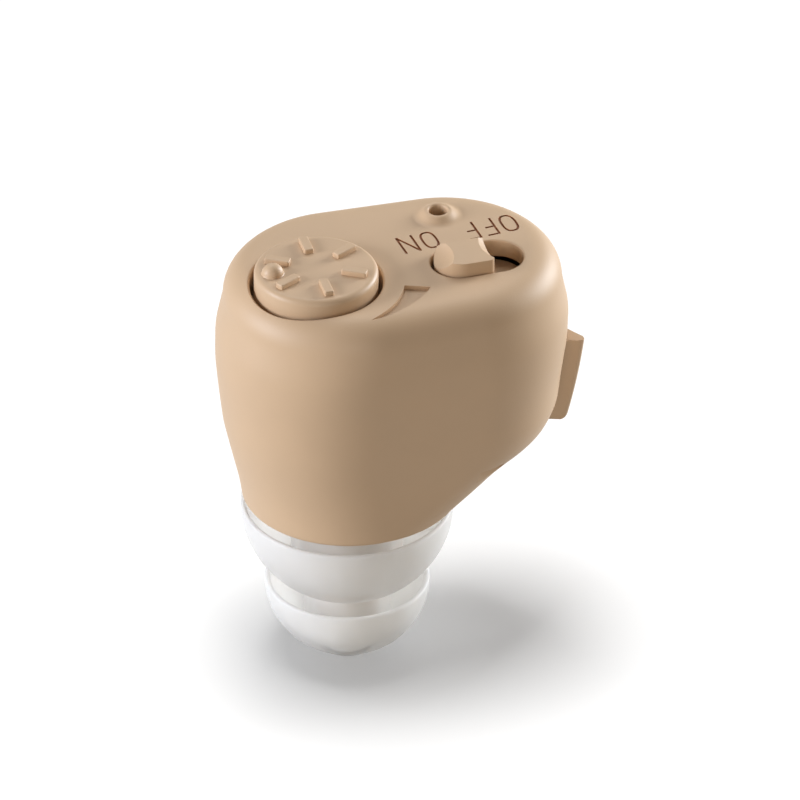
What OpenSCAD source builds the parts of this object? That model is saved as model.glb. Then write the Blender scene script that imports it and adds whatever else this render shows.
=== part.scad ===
// In-the-ear hearing aid: a moulded body with a volume dial, an ON/OFF slider and a microphone port
// in its faceplate, a swing-out battery door at one end and a soft two-flange ear tip on its nozzle.
// Millimetres. The origin is the sound outlet at the ear tip's end, +Z runs up to the faceplate and
// +X towards the battery door.

/* [Body] */
// Height of the moulded body, from the neck's lower edge to the faceplate
body_h = 14.8; // [14:0.1:18]
// Half of the body's widest width
half_w = 6.87; // [6.7:0.01:8]
// Distance from the tip's axis to the centre of the battery end's rounding
lobe_reach = 6; // [5.7:0.1:7]
// Size of the rounding round the faceplate
edge_r = 1.8; // [1.2:0.1:2]
// Rounding of the neck's lower edge
foot_r = 0.2; // [0.1:0.05:0.4]
// Thickness of the moulded wall
wall = 0.9; // [0.7:0.05:1]
// Thickness of the faceplate
face_t = 1.05; // [0.9:0.05:1.2]
// Gap between the body's neck and the ear tip
tip_gap = 0.1; // [0.05:0.05:0.3]

/* [Volume dial] */
// Place of the dial's axis
dial_x = -2.06; // [-2.2:0.01:-1.9]
dial_y = -0.97; // [-1.1:0.01:-0.8]
// Radius of the dial
dial_r = 3.45; // [3.2:0.05:3.5]
// Gap round the dial in its recess
dial_gap = 0.25; // [0.15:0.05:0.3]
// How far the dial's top stands out of the faceplate
dial_proud = 0.82; // [0.6:0.02:1.2]
// Depth of the dial's recess
recess_d = 1.65; // [1.4:0.05:1.9]
// Rounding of the dial's upper edge
dial_edge = 0.35; // [0.3:0.05:0.6]
// Length, width and height of a rib on the dial
rib_l = 1.4; // [1:0.1:1.4]
rib_w = 0.52; // [0.3:0.02:0.6]
rib_h = 0.3; // [0.2:0.05:0.4]
// Distance of the ribs' middles from the dial's axis
rib_reach = 2.2; // [2:0.05:2.3]
// Radius of the pointer dome, and its distance from the axis
pointer_r = 0.62; // [0.4:0.01:0.65]
pointer_reach = 2.45; // [2.3:0.05:2.6]

/* [Power switch] */
// Middle of the slot in the faceplate
slot_x = 7.1; // [7:0.05:7.2]
slot_y = -1.44; // [-1.5:0.01:-1.3]
// Length and width of the slot
slot_l = 5.28; // [5.1:0.02:5.4]
slot_w = 3.2; // [3:0.05:3.3]
// Length of the slider's knob in the slot
knob_l = 3.05; // [2.9:0.05:3.2]
// How far the knob's ridge stands out of the faceplate
knob_proud = 0.8; // [0.1:0.05:1]
// Travel of the slider from ON to OFF
slider_travel = 1; // [0.8:0.05:1.05]

/* [Microphone] */
// Place of the microphone port
port_x = 6.32; // [6.2:0.02:6.4]
port_y = 3.41; // [3.3:0.01:3.5]
// Radius of the port
port_r = 0.52; // [0.4:0.02:0.6]
// Radius of the port's raised cone at its foot and at its top, and its height
cone_r = 1.25; // [1.1:0.05:1.4]
cone_top_r = 0.75; // [0.7:0.05:0.9]
cone_h = 0.37; // [0.3:0.01:0.5]
// Radius and height of the microphone capsule
capsule_r = 1.5; // [1.3:0.05:1.5]
capsule_h = 1.45; // [1.2:0.05:1.6]

/* [Battery and door] */
// Radius and height of the button cell
cell_r = 3.95; // [3.8:0.05:4]
cell_h = 3.6; // [3.2:0.1:3.7]
// Middle of the cell in the closed door
cell_x = 6.5; // [6.4:0.05:6.6]
cell_y = 0.5; // [0.4:0.05:0.6]
// Height of the door's lower edge over the neck's lower edge
door_foot = 3.5; // [3.4:0.05:3.8]
// Front edge of the door, beside the nail tab
seam_y = -1.9; // [-2:0.05:-1.8]
// Place of the hinge pin
pin_x = 3; // [2.9:0.05:3.1]
pin_y = 5.1; // [5:0.05:5.2]
// Radius of the hinge pin
pin_r = 0.4; // [0.35:0.05:0.5]
// Radius of the door's rounded end at the pin
barrel_r = 2.1; // [2:0.05:2.2]
// Gap between the door and the body
door_gap = 0.08; // [0.05:0.01:0.12]
// How far the nail tab stands out of the body
tab_proud = 1.25; // [1:0.05:1.4]
// Thickness of the nail tab at its tip, and its length along the body
tab_t = 0.5; // [0.4:0.05:0.7]
tab_l = 3.2; // [2.8:0.1:3.6]

/* [Ear tip] */
// Height of the ear tip, from the sound outlet to its upper end
tip_h = 10.1; // [9.5:0.1:12]
// Radius of the upper flange's rim, and how far the rim lies below the tip's upper end
upper_r = 5.94; // [5.5:0.02:6.6]
rim_drop = 0.66; // [0.6:0.02:1]
// Radius of the lower flange's rim, and how far it lies below the upper one
lower_r = 4.6; // [4.2:0.1:5.2]
rim_pitch = 5.04; // [4.8:0.02:5.2]
// Height of the upper flange's dome
dome_h = 5.69; // [5.4:0.01:5.9]
// Thickness of a flange
flange_t = 0.3; // [0.2:0.02:0.4]
// Radius of the sleeve over the nozzle, and of the stem below it
sleeve_r = 3.05; // [2.95:0.05:3.2]
stem_r = 2.3; // [2.2:0.05:2.4]
// Radius of the sound outlet
outlet_r = 1.1; // [0.9:0.05:1.2]

/* [Inside] */
// Radius of the nozzle inside the sleeve, and inside the stem
nozzle_r = 2.45; // [2.3:0.05:2.5]
nozzle_tip_r = 1.7; // [1.6:0.05:1.75]
// Radius of the nozzle's bore
bore_r = 0.8; // [0.7:0.05:0.9]
// Width across, depth and height of the receiver
receiver_w = 4; // [3.8:0.1:4]
receiver_d = 2.9; // [2.6:0.1:3]
// Wall of the receiver's rubber boot
boot_t = 0.45; // [0.3:0.05:0.5]
// Thickness of the circuit board
board_t = 0.6; // [0.4:0.05:0.8]
// Radius of the potentiometer's case and of its shaft
pot_r = 3.2; // [3:0.05:3.3]
shaft_r = 0.9; // [0.8:0.05:1]

/* [Hidden] */
$fn = 64;

// Clearances: a running fit, a press fit, a soft piece in its seat, and the overrun of a cut
run_gap = 0.05;
press_gap = 0.01;
seat_gap = 0.03;
over = 0.5;

// Heights
upper_z = tip_h - rim_drop;
lower_z = upper_z - rim_pitch;
neck_z = tip_h + tip_gap;
face_z = neck_z + body_h;
inner_z = face_z - face_t;
shoulder_h = body_h - edge_r;

// The body's outline at heights from the neck (0) to the shoulder (1): the radius and the middle of
// its left lobe as shares of half_w, the middle of its right lobe as a share of lobe_reach, and the
// right lobe's radius as a share of the left one's
station_shares = [0, 0.1, 0.2, 0.3, 0.4, 0.55, 0.7, 0.85, 1];
left_r_shares = [0.865, 0.866, 0.873, 0.888, 0.914, 0.945, 0.978, 1, 0.991];
left_x_shares = [0.016, -0.013, -0.05, -0.079, -0.095, -0.096, -0.089, -0.063, -0.006];
right_x_shares = [0.028, 0.345, 0.6, 0.91, 0.988, 0.99, 1.003, 0.992, 0.935];
right_r_shares = [1, 0.97, 0.961, 0.961, 0.961, 0.961, 0.961, 0.961, 0.961];
// Height over which the outline is smoothed
blend_h = 0.4;
// Extra depth of the cavity's floor over the sloping underside
slope_lift = 0.3;
arc_steps = 26;
body_steps = 15;
edge_steps = 7;
foot_steps = 3;

function at(h, shares) =
    lookup(h / shoulder_h, [for (i = [0:len(shares) - 1]) [station_shares[i], shares[i]]]);
function smooth(h, shares) =
    (at(h - blend_h, shares) + at(h - blend_h / 2, shares) + at(h, shares)
    + at(h + blend_h / 2, shares) + at(h + blend_h, shares)) / 5;
function left_r(h) = half_w * smooth(h, left_r_shares);
function left_x(h) = half_w * smooth(h, left_x_shares);
function right_r(h) = left_r(h) * smooth(h, right_r_shares);
function right_x(h) = lobe_reach * smooth(h, right_x_shares);
function edge_inset(h) = h <= shoulder_h ? 0 : edge_r - sqrt(edge_r * edge_r - pow(h - shoulder_h, 2));
// The body's outer surface along X at the height h and the place y
function end_x(h, y) = right_x(h) + sqrt(pow(right_r(h), 2) - y * y);

// An outline round two circles on the X axis, as points
function tangent(x1, r1, x2, r2) = acos(max(-1, min(1, (r1 - r2) / (x2 - x1))));
function arc(x, y, r, from, to, steps) =
    [for (i = [0:steps]) let(t = from + (to - from) * i / steps) [x + r * cos(t), y + r * sin(t)]];
function two_lobes(x1, r1, x2, r2) =
    let(t = tangent(x1, r1, x2, r2))
    concat(arc(x2, 0, r2, -t, t, arc_steps), arc(x1, 0, r1, t, 360 - t, arc_steps));
function section(h, inset) =
    let(g = min(h, shoulder_h)) two_lobes(left_x(g), left_r(g) - inset, right_x(g), right_r(g) - inset);

outer_levels = concat(
    [for (i = [0:foot_steps]) let(t = 90 * i / foot_steps)
        [foot_r * (1 - cos(t)), foot_r * (1 - cos(t)), foot_r * (1 - sin(t))]],
    [for (i = [1:body_steps]) let(h = foot_r + (shoulder_h - foot_r) * i / body_steps) [h, h, 0]],
    [for (i = [1:edge_steps]) let(t = 90 * i / edge_steps)
        [shoulder_h + edge_r * sin(t), shoulder_h, edge_r * (1 - cos(t))]]);
cavity_h = body_h - face_t;
inner_levels = [for (i = [0:body_steps]) let(h = wall + (cavity_h - wall) * i / body_steps)
    [h, h - slope_lift, wall + edge_inset(h)]];

// A solid through levels of [height, height of the outline, inset]
module loft(levels) {
    count = 2 * (arc_steps + 1);
    last = len(levels) - 1;
    points = [for (l = levels) for (p = section(l[1], l[2])) [p[0], p[1], neck_z + l[0]]];
    sides = [for (j = [0:last - 1]) for (i = [0:count - 1]) let(a = j * count + i,
        b = j * count + (i + 1) % count) each [[a, a + count, b + count], [a, b + count, b]]];
    floor_face = [for (i = [0:count - 1]) i];
    roof_face = [for (i = [count - 1:-1:0]) last * count + i];
    polyhedron(points, concat(sides, [floor_face, roof_face]));
}

module body_solid() {
    loft(outer_levels);
}

module cavity() {
    loft(inner_levels);
}

// A prism of the given plan between two heights
module prism(low, high) {
    translate([0, 0, low]) linear_extrude(high - low) children();
}

// A tube or rod on a vertical axis
module rod(x, y, r, low, high) {
    translate([x, y, low]) cylinder(r = r, h = high - low);
}

module block(x0, x1, y0, y1, z0, z1) {
    translate([x0, y0, z0]) cube([x1 - x0, y1 - y0, z1 - z0]);
}

module stadium(length, width) {
    square([length - width, width], center = true);
    for (side = [-1, 1]) translate([side * (length - width) / 2, 0]) circle(d = width);
}

module rounded_plate(x0, x1, half_d, r) {
    for (side = [-1, 1]) {
        translate([x0 + r, side * (half_d - r)]) circle(r = r);
        translate([x1 - r, side * (half_d - r)]) circle(r = r);
    }
    translate([x0 + r, -half_d]) square([x1 - x0 - 2 * r, 2 * half_d]);
    translate([x0, -half_d + r]) square([x1 - x0, 2 * (half_d - r)]);
}

// Dial recess and what hangs under the faceplate
recess_r = dial_r + dial_gap;
recess_z = face_z - recess_d;
cup_t = 0.7;
cup_wall = 0.6;
collar_wall = 0.35;
capsule_boot_t = 0.35;
screen_t = 0.08;
post_r = 0.8;
post_x = 2.7;
post_y = 2.2;
screw_r = 0.5;

// Battery bay
cradle_t = 1;
head_room = 0.52;
door_z0 = neck_z + door_foot;
cell_z = door_z0 + door_gap + cradle_t + run_gap / 2;
door_z1 = cell_z + cell_h + head_room;
pin_seat = 1.1;
pin_boss_r = 0.85;

// Board and the pieces on it
board_gap = 0.28;
board_z = door_z1 + board_gap;
board_top = board_z + board_t;

// Volume ramp beside the dial: a wedge along an arc
ramp_r = 4.9;
ramp_w = 1.47;
ramp_from = -22.4;
ramp_to = -68.4;
ramp_steps = 12;
ramp_d = 0.25;
ramp_points = concat(
    arc(dial_x, dial_y, ramp_r, ramp_from, ramp_to, ramp_steps),
    [for (i = [ramp_steps - 1:-1:0]) let(t = ramp_from + (ramp_to - ramp_from) * i / ramp_steps,
        r = ramp_r + ramp_w * (1 - i / ramp_steps)) [dial_x + r * cos(t), dial_y + r * sin(t)]]);

// Underside cover: its outline inside the body's foot, and the pry notch beside it
cover_rim = 1.35;
cover_lobe_x = 5.2;
cover_lobe_r = 3.6;
cover_gap = 0.05;
cover_top = door_z0 - cover_gap;
notch_depth = 0.5;
notch_w = 1.65;
notch_turn = -63;
notch_rise = 3.5;

module cover_plan(gap) {
    polygon(two_lobes(left_x(0), left_r(0) - cover_rim - gap, cover_lobe_x, cover_lobe_r - gap));
}

// Plan of the door's opening; a gap draws its edges in
module opening_plan(gap) {
    translate([pin_x, seam_y + gap]) square([lobe_reach + half_w, 2 * half_w]);
    translate([pin_x, pin_y]) circle(r = barrel_r - gap);
}

module shell_bosses() {
    rod(dial_x, dial_y, recess_r + cup_wall, recess_z - cup_t, inner_z + over);
    rod(port_x, port_y, capsule_r + capsule_boot_t + seat_gap + collar_wall,
        inner_z - capsule_h, inner_z + over);
    for (side = [-1, 1]) rod(post_x, side * post_y, post_r, board_top, inner_z + over);
    rod(pin_x, pin_y, pin_boss_r, door_z0 - pin_seat - wall / 2, door_z0 + over);
    rod(pin_x, pin_y, pin_boss_r, door_z1 - over, door_z1 + pin_seat + wall / 2);
    block(pin_x - pin_boss_r, pin_x + pin_boss_r, pin_y, half_w,
        door_z1 - over, door_z1 + pin_seat + wall / 2);
}

module main_shell() color([0.73, 0.64, 0.55]) {
    difference() {
        union() {
            difference() {
                body_solid();
                cavity();
            }
            intersection() {
                body_solid();
                shell_bosses();
            }
            translate([port_x, port_y, face_z - press_gap])
                cylinder(r1 = cone_r, r2 = cone_top_r, h = cone_h + press_gap);
        }
        rod(dial_x, dial_y, recess_r, recess_z, face_z + over);
        rod(dial_x, dial_y, shaft_r + run_gap, recess_z - cup_t - over, recess_z + over);
        prism(inner_z - over, face_z + over) translate([slot_x, slot_y]) stadium(slot_l, slot_w);
        rod(port_x, port_y, port_r, inner_z - over, face_z + cone_h + over);
        rod(port_x, port_y, capsule_r + capsule_boot_t + seat_gap, inner_z - capsule_h - over, inner_z);
        for (side = [-1, 1])
            rod(post_x, side * post_y, screw_r + press_gap, board_top - over, inner_z - wall);
        prism(face_z - ramp_d, face_z + over) polygon(ramp_points);
        prism(door_z0, door_z1) opening_plan(0);
        rod(pin_x, pin_y, pin_r + press_gap, door_z0 - pin_seat, door_z1 + pin_seat);
        prism(neck_z - over, cover_top) cover_plan(0);
        translate([right_x(notch_rise), 0, neck_z]) rotate(notch_turn)
            block(right_r(notch_rise) - notch_depth, half_w, -notch_w / 2, notch_w / 2, 0, notch_rise);
    }
}

// Nozzle: a shouldered spigot pressed into the cover from below
spigot_r = 1.6;
spigot_rise = 0.6;
nozzle_step = 0.6;
nozzle_step_z = lower_z + nozzle_step;
nozzle_end_z = 1.6;
nozzle_chamfer = 0.25;

// Receiver in its boot, over the nozzle
receiver_x = -0.6;
boot_z = neck_z + wall + spigot_rise + run_gap;
receiver_z = boot_z + 1.8 * boot_t;
receiver_top = board_z - run_gap - boot_t;
tube_r = bore_r - 2 * run_gap;
spout_r = 0.62 * tube_r;
spout_l = 0.65;
tube_bore_r = 0.7 * tube_r;
tube_l = 3.1;
socket_t = 0.5;
socket_h = 1.9;

module underside_cover() color([0.7, 0.6, 0.5]) {
    half_x = receiver_w / 2 + boot_t + seat_gap;
    half_y = receiver_d / 2 + boot_t + seat_gap;
    difference() {
        union() {
            difference() {
                intersection() {
                    body_solid();
                    prism(neck_z - over, cover_top - cover_gap) cover_plan(cover_gap);
                }
                cavity();
            }
            translate([receiver_x, 0, neck_z + wall / 2]) block(-half_x - socket_t, half_x + socket_t,
                -half_y - socket_t, half_y + socket_t, 0, wall / 2 + socket_h);
        }
        translate([receiver_x, 0, neck_z + wall])
            block(-half_x, half_x, -half_y, half_y, 0, socket_h + over);
        rod(0, 0, spigot_r + press_gap, neck_z - over, neck_z + wall + over);
    }
}

module nozzle() color([0.72, 0.62, 0.53]) {
    difference() {
        rotate_extrude() polygon([[bore_r, nozzle_end_z], [nozzle_tip_r - nozzle_chamfer, nozzle_end_z],
            [nozzle_tip_r, nozzle_end_z + nozzle_chamfer], [nozzle_tip_r, nozzle_step_z],
            [nozzle_r - nozzle_chamfer, nozzle_step_z], [nozzle_r, nozzle_step_z + nozzle_chamfer],
            [nozzle_r, neck_z], [spigot_r, neck_z], [spigot_r, neck_z + wall + spigot_rise],
            [bore_r, neck_z + wall + spigot_rise]]);
        rod(0, 0, bore_r + press_gap, nozzle_end_z - over, nozzle_end_z + guard_t);
    }
}

// Wax guard: a perforated disc in the nozzle's end
guard_t = 0.5;
guard_hole_r = bore_r / 5;
guard_ring_r = 0.6 * bore_r;

module wax_guard() color([0.92, 0.92, 0.9]) {
    difference() {
        rod(0, 0, bore_r, nozzle_end_z, nozzle_end_z + guard_t);
        rod(0, 0, guard_hole_r, nozzle_end_z - over, nozzle_end_z + guard_t + over);
        for (turn = [0:60:300]) rotate(turn) rod(guard_ring_r, 0, guard_hole_r, nozzle_end_z - over,
            nozzle_end_z + guard_t + over);
    }
}

// Ear tip: a sleeve and a stem with two dome flanges that open upwards
dome_steps = 14;
outlet_l = nozzle_end_z - 3 * run_gap;
end_face_r = outlet_r + 0.35 * (nozzle_tip_r - outlet_r) + flange_t / 2;
end_dome_r = end_face_r + 1.5 * flange_t;

// Points along a dome from the radius a to the radius b, spaced by equal angles
function dome(z, rim, h, a, b) =
    [for (i = [0:dome_steps]) let(t = asin(a / rim) + (asin(b / rim) - asin(a / rim)) * i / dome_steps)
        [rim * sin(t), z - h * cos(t)]];

module ear_tip() color([0.87, 0.86, 0.84]) {
    inner_lower = lower_r - flange_t;
    inner_upper = upper_r - flange_t;
    rotate_extrude() polygon(concat(
        [[outlet_r, outlet_l], [outlet_r, 0], [end_face_r, 0]],
        dome(lower_z, lower_r, lower_z, end_dome_r, lower_r),
        dome(lower_z, inner_lower, lower_z - 1.4 * flange_t, inner_lower, stem_r),
        dome(upper_z, upper_r, dome_h, stem_r, upper_r),
        dome(upper_z, inner_upper, dome_h - 1.3 * flange_t, inner_upper, sleeve_r),
        [[sleeve_r, tip_h], [nozzle_r + run_gap, tip_h], [nozzle_r + run_gap, nozzle_step_z - run_gap],
        [nozzle_tip_r + run_gap, nozzle_step_z - run_gap], [nozzle_tip_r + run_gap, outlet_l]]));
}

// Volume dial: a shallow cap with a hub that fits the potentiometer's flatted shaft
dial_z = recess_z + 2 * run_gap;
dial_top = face_z + dial_proud;
dial_skirt = 0.7;
dial_roof = 1;
hub_r = 1.6;
flat_share = 0.55;
shaft_top = dial_top - dial_roof / 2;
rib_turns = 6;
rib_start = 28;
pointer_turn = 175;
pointer_sink_share = 0.05;

module shaft_plan(gap) {
    intersection() {
        circle(r = shaft_r + gap);
        translate([-shaft_r - gap, -shaft_r - gap])
            square([shaft_r * (1 + flat_share) + 2 * gap, 2 * (shaft_r + gap)]);
    }
}

module volume_dial() color([0.74, 0.65, 0.56]) translate([dial_x, dial_y, 0]) {
    difference() {
        rotate_extrude() polygon(concat(
            [[0, dial_z], [hub_r, dial_z], [hub_r, dial_top - dial_roof],
            [dial_r - dial_skirt, dial_top - dial_roof], [dial_r - dial_skirt, dial_z], [dial_r, dial_z]],
            arc(dial_r - dial_edge, dial_top - dial_edge, dial_edge, 0, 90, edge_steps),
            [[0, dial_top]]));
        prism(dial_z - over, shaft_top + run_gap) shaft_plan(press_gap);
    }
    for (i = [0:rib_turns - 1]) rotate(rib_start + 360 * i / rib_turns) {
        prism(dial_top - dial_edge / 2, dial_top + rib_h) translate([rib_reach, 0]) stadium(rib_l, rib_w);
    }
    rotate(pointer_turn)
        translate([pointer_reach, 0, dial_top - pointer_sink_share * pointer_r]) sphere(r = pointer_r);
}

// Potentiometer: a metal case on the board, open below
pot_wall = 0.3;
disc_r = 2.5;
disc_t = 0.7;
disc_rise = 0.6;
pot_top = recess_z - cup_t - run_gap;

module potentiometer_case() color([0.75, 0.76, 0.78]) {
    difference() {
        rod(dial_x, dial_y, pot_r, board_top, pot_top);
        rod(dial_x, dial_y, pot_r - pot_wall, board_top - over, pot_top - pot_wall);
        rod(dial_x, dial_y, shaft_r + run_gap, board_top, pot_top + over);
    }
}

module potentiometer_rotor() color([0.93, 0.92, 0.88]) {
    rod(dial_x, dial_y, disc_r, board_top + disc_rise, board_top + disc_rise + disc_t);
    rod(dial_x, dial_y, shaft_r / 2, board_top + run_gap, board_top + disc_rise);
    translate([dial_x, dial_y, 0]) prism(board_top + disc_rise + disc_t, shaft_top) shaft_plan(0);
}

// A row of bent pins that stand on the board beside a case; the run goes along Y
lead_w = 0.4;
lead_t = 0.18;
pin_rise = 0.6;

module bent_pin(foot_l) {
    block(-lead_w / 2, lead_w / 2, 0, lead_t, 0, pin_rise);
    block(-lead_w / 2, lead_w / 2, lead_t, foot_l, 0, lead_t);
}

pot_pin_pitch = 1.2;
pot_foot = 0.4;

module potentiometer_pins() color([0.8, 0.8, 0.76]) {
    for (i = [-1:1]) translate([dial_x + pot_r + run_gap, dial_y + i * pot_pin_pitch, board_top]) rotate(-90)
        bent_pin(pot_foot);
}

// Power slider: a flange under the faceplate and a knob with a finger ridge in the slot
flange_h = 0.6;
flange_drop = 0.35;
flange_l = 5.95;
flange_w = 3.8;
flange_lap = 0.65;
flange_x = slot_x - slot_l / 2 - flange_lap + flange_l / 2;
knob_gap = 0.08;
knob_back_gap = 0.2;
knob_end_r = slot_w / 2 - knob_gap;
knob_corner_r = 0.3;
knob_x = slot_x - slot_l / 2 + knob_back_gap;
scoop_r = 3;
scoop_out_on = 1.3;
scoop_out_off = 1.85;
scoop_d = 1.07;
key_l = 0.9;
key_w = 0.7;
key_up = 0.4;
slider_top = face_z + knob_proud;
flange_z = inner_z - flange_drop - flange_h;
key_x = slot_x - slider_travel / 2;

// Plan of the knob: round at the ON end, with small corners at the other one
module knob_plan() {
    side_l = knob_l - knob_end_r;
    translate([knob_x + knob_end_r, slot_y]) {
        circle(r = knob_end_r);
        translate([0, -knob_end_r]) square([side_l - knob_corner_r, 2 * knob_end_r]);
        translate([0, knob_corner_r - knob_end_r]) square([side_l, 2 * (knob_end_r - knob_corner_r)]);
        for (side = [-1, 1])
            translate([side_l - knob_corner_r, side * (knob_end_r - knob_corner_r)])
                circle(r = knob_corner_r);
    }
}

module power_slider() color([0.74, 0.65, 0.56]) {
    difference() {
        union() {
            prism(flange_z, flange_z + flange_h) translate([flange_x, slot_y]) stadium(flange_l, flange_w);
            prism(flange_z, slider_top) knob_plan();
        }
        for (x = [knob_x - scoop_out_on, knob_x + knob_l + scoop_out_off])
            translate([x, slot_y, slider_top + scoop_r - scoop_d]) sphere(r = scoop_r);
        translate([key_x, slot_y, 0]) block(-key_l / 2 - run_gap, key_l / 2 + run_gap, -key_w / 2 - run_gap,
            key_w / 2 + run_gap, flange_z - over, flange_z + key_up);
    }
}

// Slide switch on the board
switch_l = 5;
switch_d = 2.8;
switch_wall = 0.25;
switch_gap = 0.12;
switch_top = flange_z - switch_gap;
carriage_l = 1.9;
carriage_h = 0.8;
carriage_rise = 0.5;

module switch_case() color([0.78, 0.78, 0.8]) translate([slot_x, slot_y, 0]) {
    half_slot = slider_travel / 2 + key_l / 2 + 3 * run_gap;
    difference() {
        block(-switch_l / 2, switch_l / 2, -switch_d / 2, switch_d / 2, board_top, switch_top);
        block(-switch_l / 2 + switch_wall, switch_l / 2 - switch_wall, -switch_d / 2 + switch_wall,
            switch_d / 2 - switch_wall, board_top - over, switch_top - switch_wall);
        block(-half_slot, half_slot, -key_w / 2 - 2 * run_gap, key_w / 2 + 2 * run_gap,
            switch_top - over, switch_top + over);
    }
}

module switch_actuator() color([0.15, 0.15, 0.16]) translate([key_x, slot_y, 0]) {
    carriage_d = switch_d - 2 * switch_wall - 2 * run_gap;
    block(-carriage_l / 2, carriage_l / 2, -carriage_d / 2, carriage_d / 2,
        board_top + carriage_rise, board_top + carriage_rise + carriage_h);
    block(-key_l / 2, key_l / 2, -key_w / 2, key_w / 2, board_top + carriage_rise + carriage_h,
        flange_z + key_up - run_gap);
}

switch_pin_pitch = 1.5;
switch_foot = 0.45;

module switch_pins() color([0.8, 0.8, 0.76]) {
    for (i = [-1:1])
        translate([slot_x + i * switch_pin_pitch, slot_y - switch_d / 2 - run_gap, board_top])
            rotate(180) bent_pin(switch_foot);
}

// Microphone: a capsule in a rubber boot under the port, with a fine screen over it
boot_lip = 0.28;
boot_lip_r = 0.95;
boot_top = inner_z - seat_gap;
screen_z = inner_z - 3 * run_gap - screen_t;
capsule_top = screen_z - boot_lip;
capsule_z = capsule_top - capsule_h;
screen_r = 1.25;
screen_hole_r = 0.11;
screen_ring_r = 0.34;

module microphone_boot() color([0.2, 0.2, 0.21]) {
    difference() {
        rod(port_x, port_y, capsule_r + capsule_boot_t, capsule_z - capsule_boot_t / 2, boot_top);
        rod(port_x, port_y, capsule_r + press_gap, capsule_z - over, capsule_top);
        rod(port_x, port_y, screen_r + press_gap, screen_z, boot_top + over);
        rod(port_x, port_y, boot_lip_r, capsule_z, boot_top + over);
    }
}

module microphone_capsule() color([0.8, 0.78, 0.72]) {
    difference() {
        rod(port_x, port_y, capsule_r, capsule_z, capsule_top);
        rod(port_x, port_y, port_r / 2, capsule_top - capsule_h / 3, boot_top);
    }
}

module microphone_screen() color([0.35, 0.33, 0.3]) {
    difference() {
        rod(port_x, port_y, screen_r, screen_z, screen_z + screen_t);
        rod(port_x, port_y, screen_hole_r, screen_z - over, screen_z + over);
        translate([port_x, port_y, 0]) for (turn = [0:60:300]) rotate(turn)
            rod(screen_ring_r, 0, screen_hole_r, screen_z - over, screen_z + over);
    }
}

wire_r = 0.12;
wire_pitch = 0.8;
wire_in = 0.35;

module microphone_leads() color([0.75, 0.2, 0.15]) {
    for (side = [-1, 1]) rod(port_x + side * wire_pitch / 2, port_y - wire_in, wire_r, board_top, capsule_z);
}

module receiver() color([0.76, 0.76, 0.78]) {
    difference() {
        union() {
            translate([receiver_x, 0, 0])
                block(-receiver_w / 2, receiver_w / 2, -receiver_d / 2, receiver_d / 2,
                    receiver_z, receiver_top);
            rod(0, 0, spout_r, receiver_z - spout_l, receiver_z + boot_t);
        }
        rod(0, 0, spout_r / 2, receiver_z - spout_l - over, receiver_z + boot_t);
    }
}

module receiver_boot() color([0.22, 0.22, 0.23]) {
    half_x = receiver_w / 2 + boot_t;
    half_y = receiver_d / 2 + boot_t;
    difference() {
        translate([receiver_x, 0, 0]) block(-half_x, half_x, -half_y, half_y, boot_z, receiver_top + boot_t);
        translate([receiver_x, 0, 0]) block(-receiver_w / 2 - press_gap, receiver_w / 2 + press_gap,
            -receiver_d / 2 - press_gap, receiver_d / 2 + press_gap, receiver_z, receiver_top);
        rod(0, 0, tube_r + press_gap, boot_z - over, receiver_z + over);
        for (side = [-1, 1]) rod(receiver_x + side * wire_pitch / 2, 0, wire_r + press_gap,
            receiver_top - over, receiver_top + boot_t + over);
    }
}

module sound_tube() color([0.8, 0.82, 0.82]) {
    difference() {
        rod(0, 0, tube_r, receiver_z - run_gap - tube_l, receiver_z - run_gap);
        rod(0, 0, tube_bore_r, receiver_z - tube_l - over, receiver_z + over);
    }
}

module receiver_leads() color([0.2, 0.35, 0.6]) {
    for (side = [-1, 1]) rod(receiver_x + side * wire_pitch / 2, 0, wire_r, receiver_top, board_z);
}

// Circuit board with what is soldered to it
board_x0 = -5.2;
board_x1 = 9.9;
board_half_d = 3.4;
board_r = 2.4;
screw_play = 0.08;

module circuit_board() color([0.1, 0.35, 0.2]) {
    difference() {
        prism(board_z, board_top) rounded_plate(board_x0, board_x1, board_half_d, board_r);
        for (side = [-1, 1])
            rod(post_x, side * post_y, screw_r + screw_play, board_z - over, board_top + over);
    }
}

chip_l = 1.9;
chip_d = 2.4;
chip_h = 0.8;

module amplifier_chip() color([0.12, 0.12, 0.13]) {
    block(post_x - chip_l / 2, post_x + chip_l / 2, -chip_d / 2, chip_d / 2, board_top, board_top + chip_h);
}

capacitor_l = 1.6;
capacitor_d = 0.8;
capacitor_h = 0.9;
part_y = 0.85;
part_pitch = 2;

module capacitors() color([0.78, 0.62, 0.3]) {
    for (i = [0:1]) translate([slot_x + (i - 0.5) * part_pitch, part_y, board_top])
        block(-capacitor_l / 2, capacitor_l / 2, -capacitor_d / 2, capacitor_d / 2, 0, capacitor_h);
}

resistor_l = 1;
resistor_d = 0.5;
resistor_h = 0.35;
resistor_pitch = 1.3;

module resistors() color([0.1, 0.1, 0.1]) {
    for (i = [0:3])
        translate([slot_x + (i - 1.5) * resistor_pitch, part_y + capacitor_d / 2 + resistor_d, board_top])
        block(-resistor_l / 2, resistor_l / 2, -resistor_d / 2, resistor_d / 2, 0, resistor_h);
}

screw_head_r = 0.8;
screw_head_h = 0.3;
screw_l = 2.1;
recess_share = 0.5;

module board_screws() color([0.6, 0.6, 0.62]) {
    for (side = [-1, 1]) difference() {
        union() {
            rod(post_x, side * post_y, screw_head_r, board_z - screw_head_h, board_z);
            rod(post_x, side * post_y, screw_r, board_z, board_z + screw_l);
        }
        translate([post_x, side * post_y, 0]) for (turn = [0, 90]) rotate(turn)
            block(-recess_share * screw_head_r, recess_share * screw_head_r,
                -screw_head_h / 3, screw_head_h / 3,
                board_z - screw_head_h - over, board_z - screw_head_h / 2);
    }
}

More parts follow.
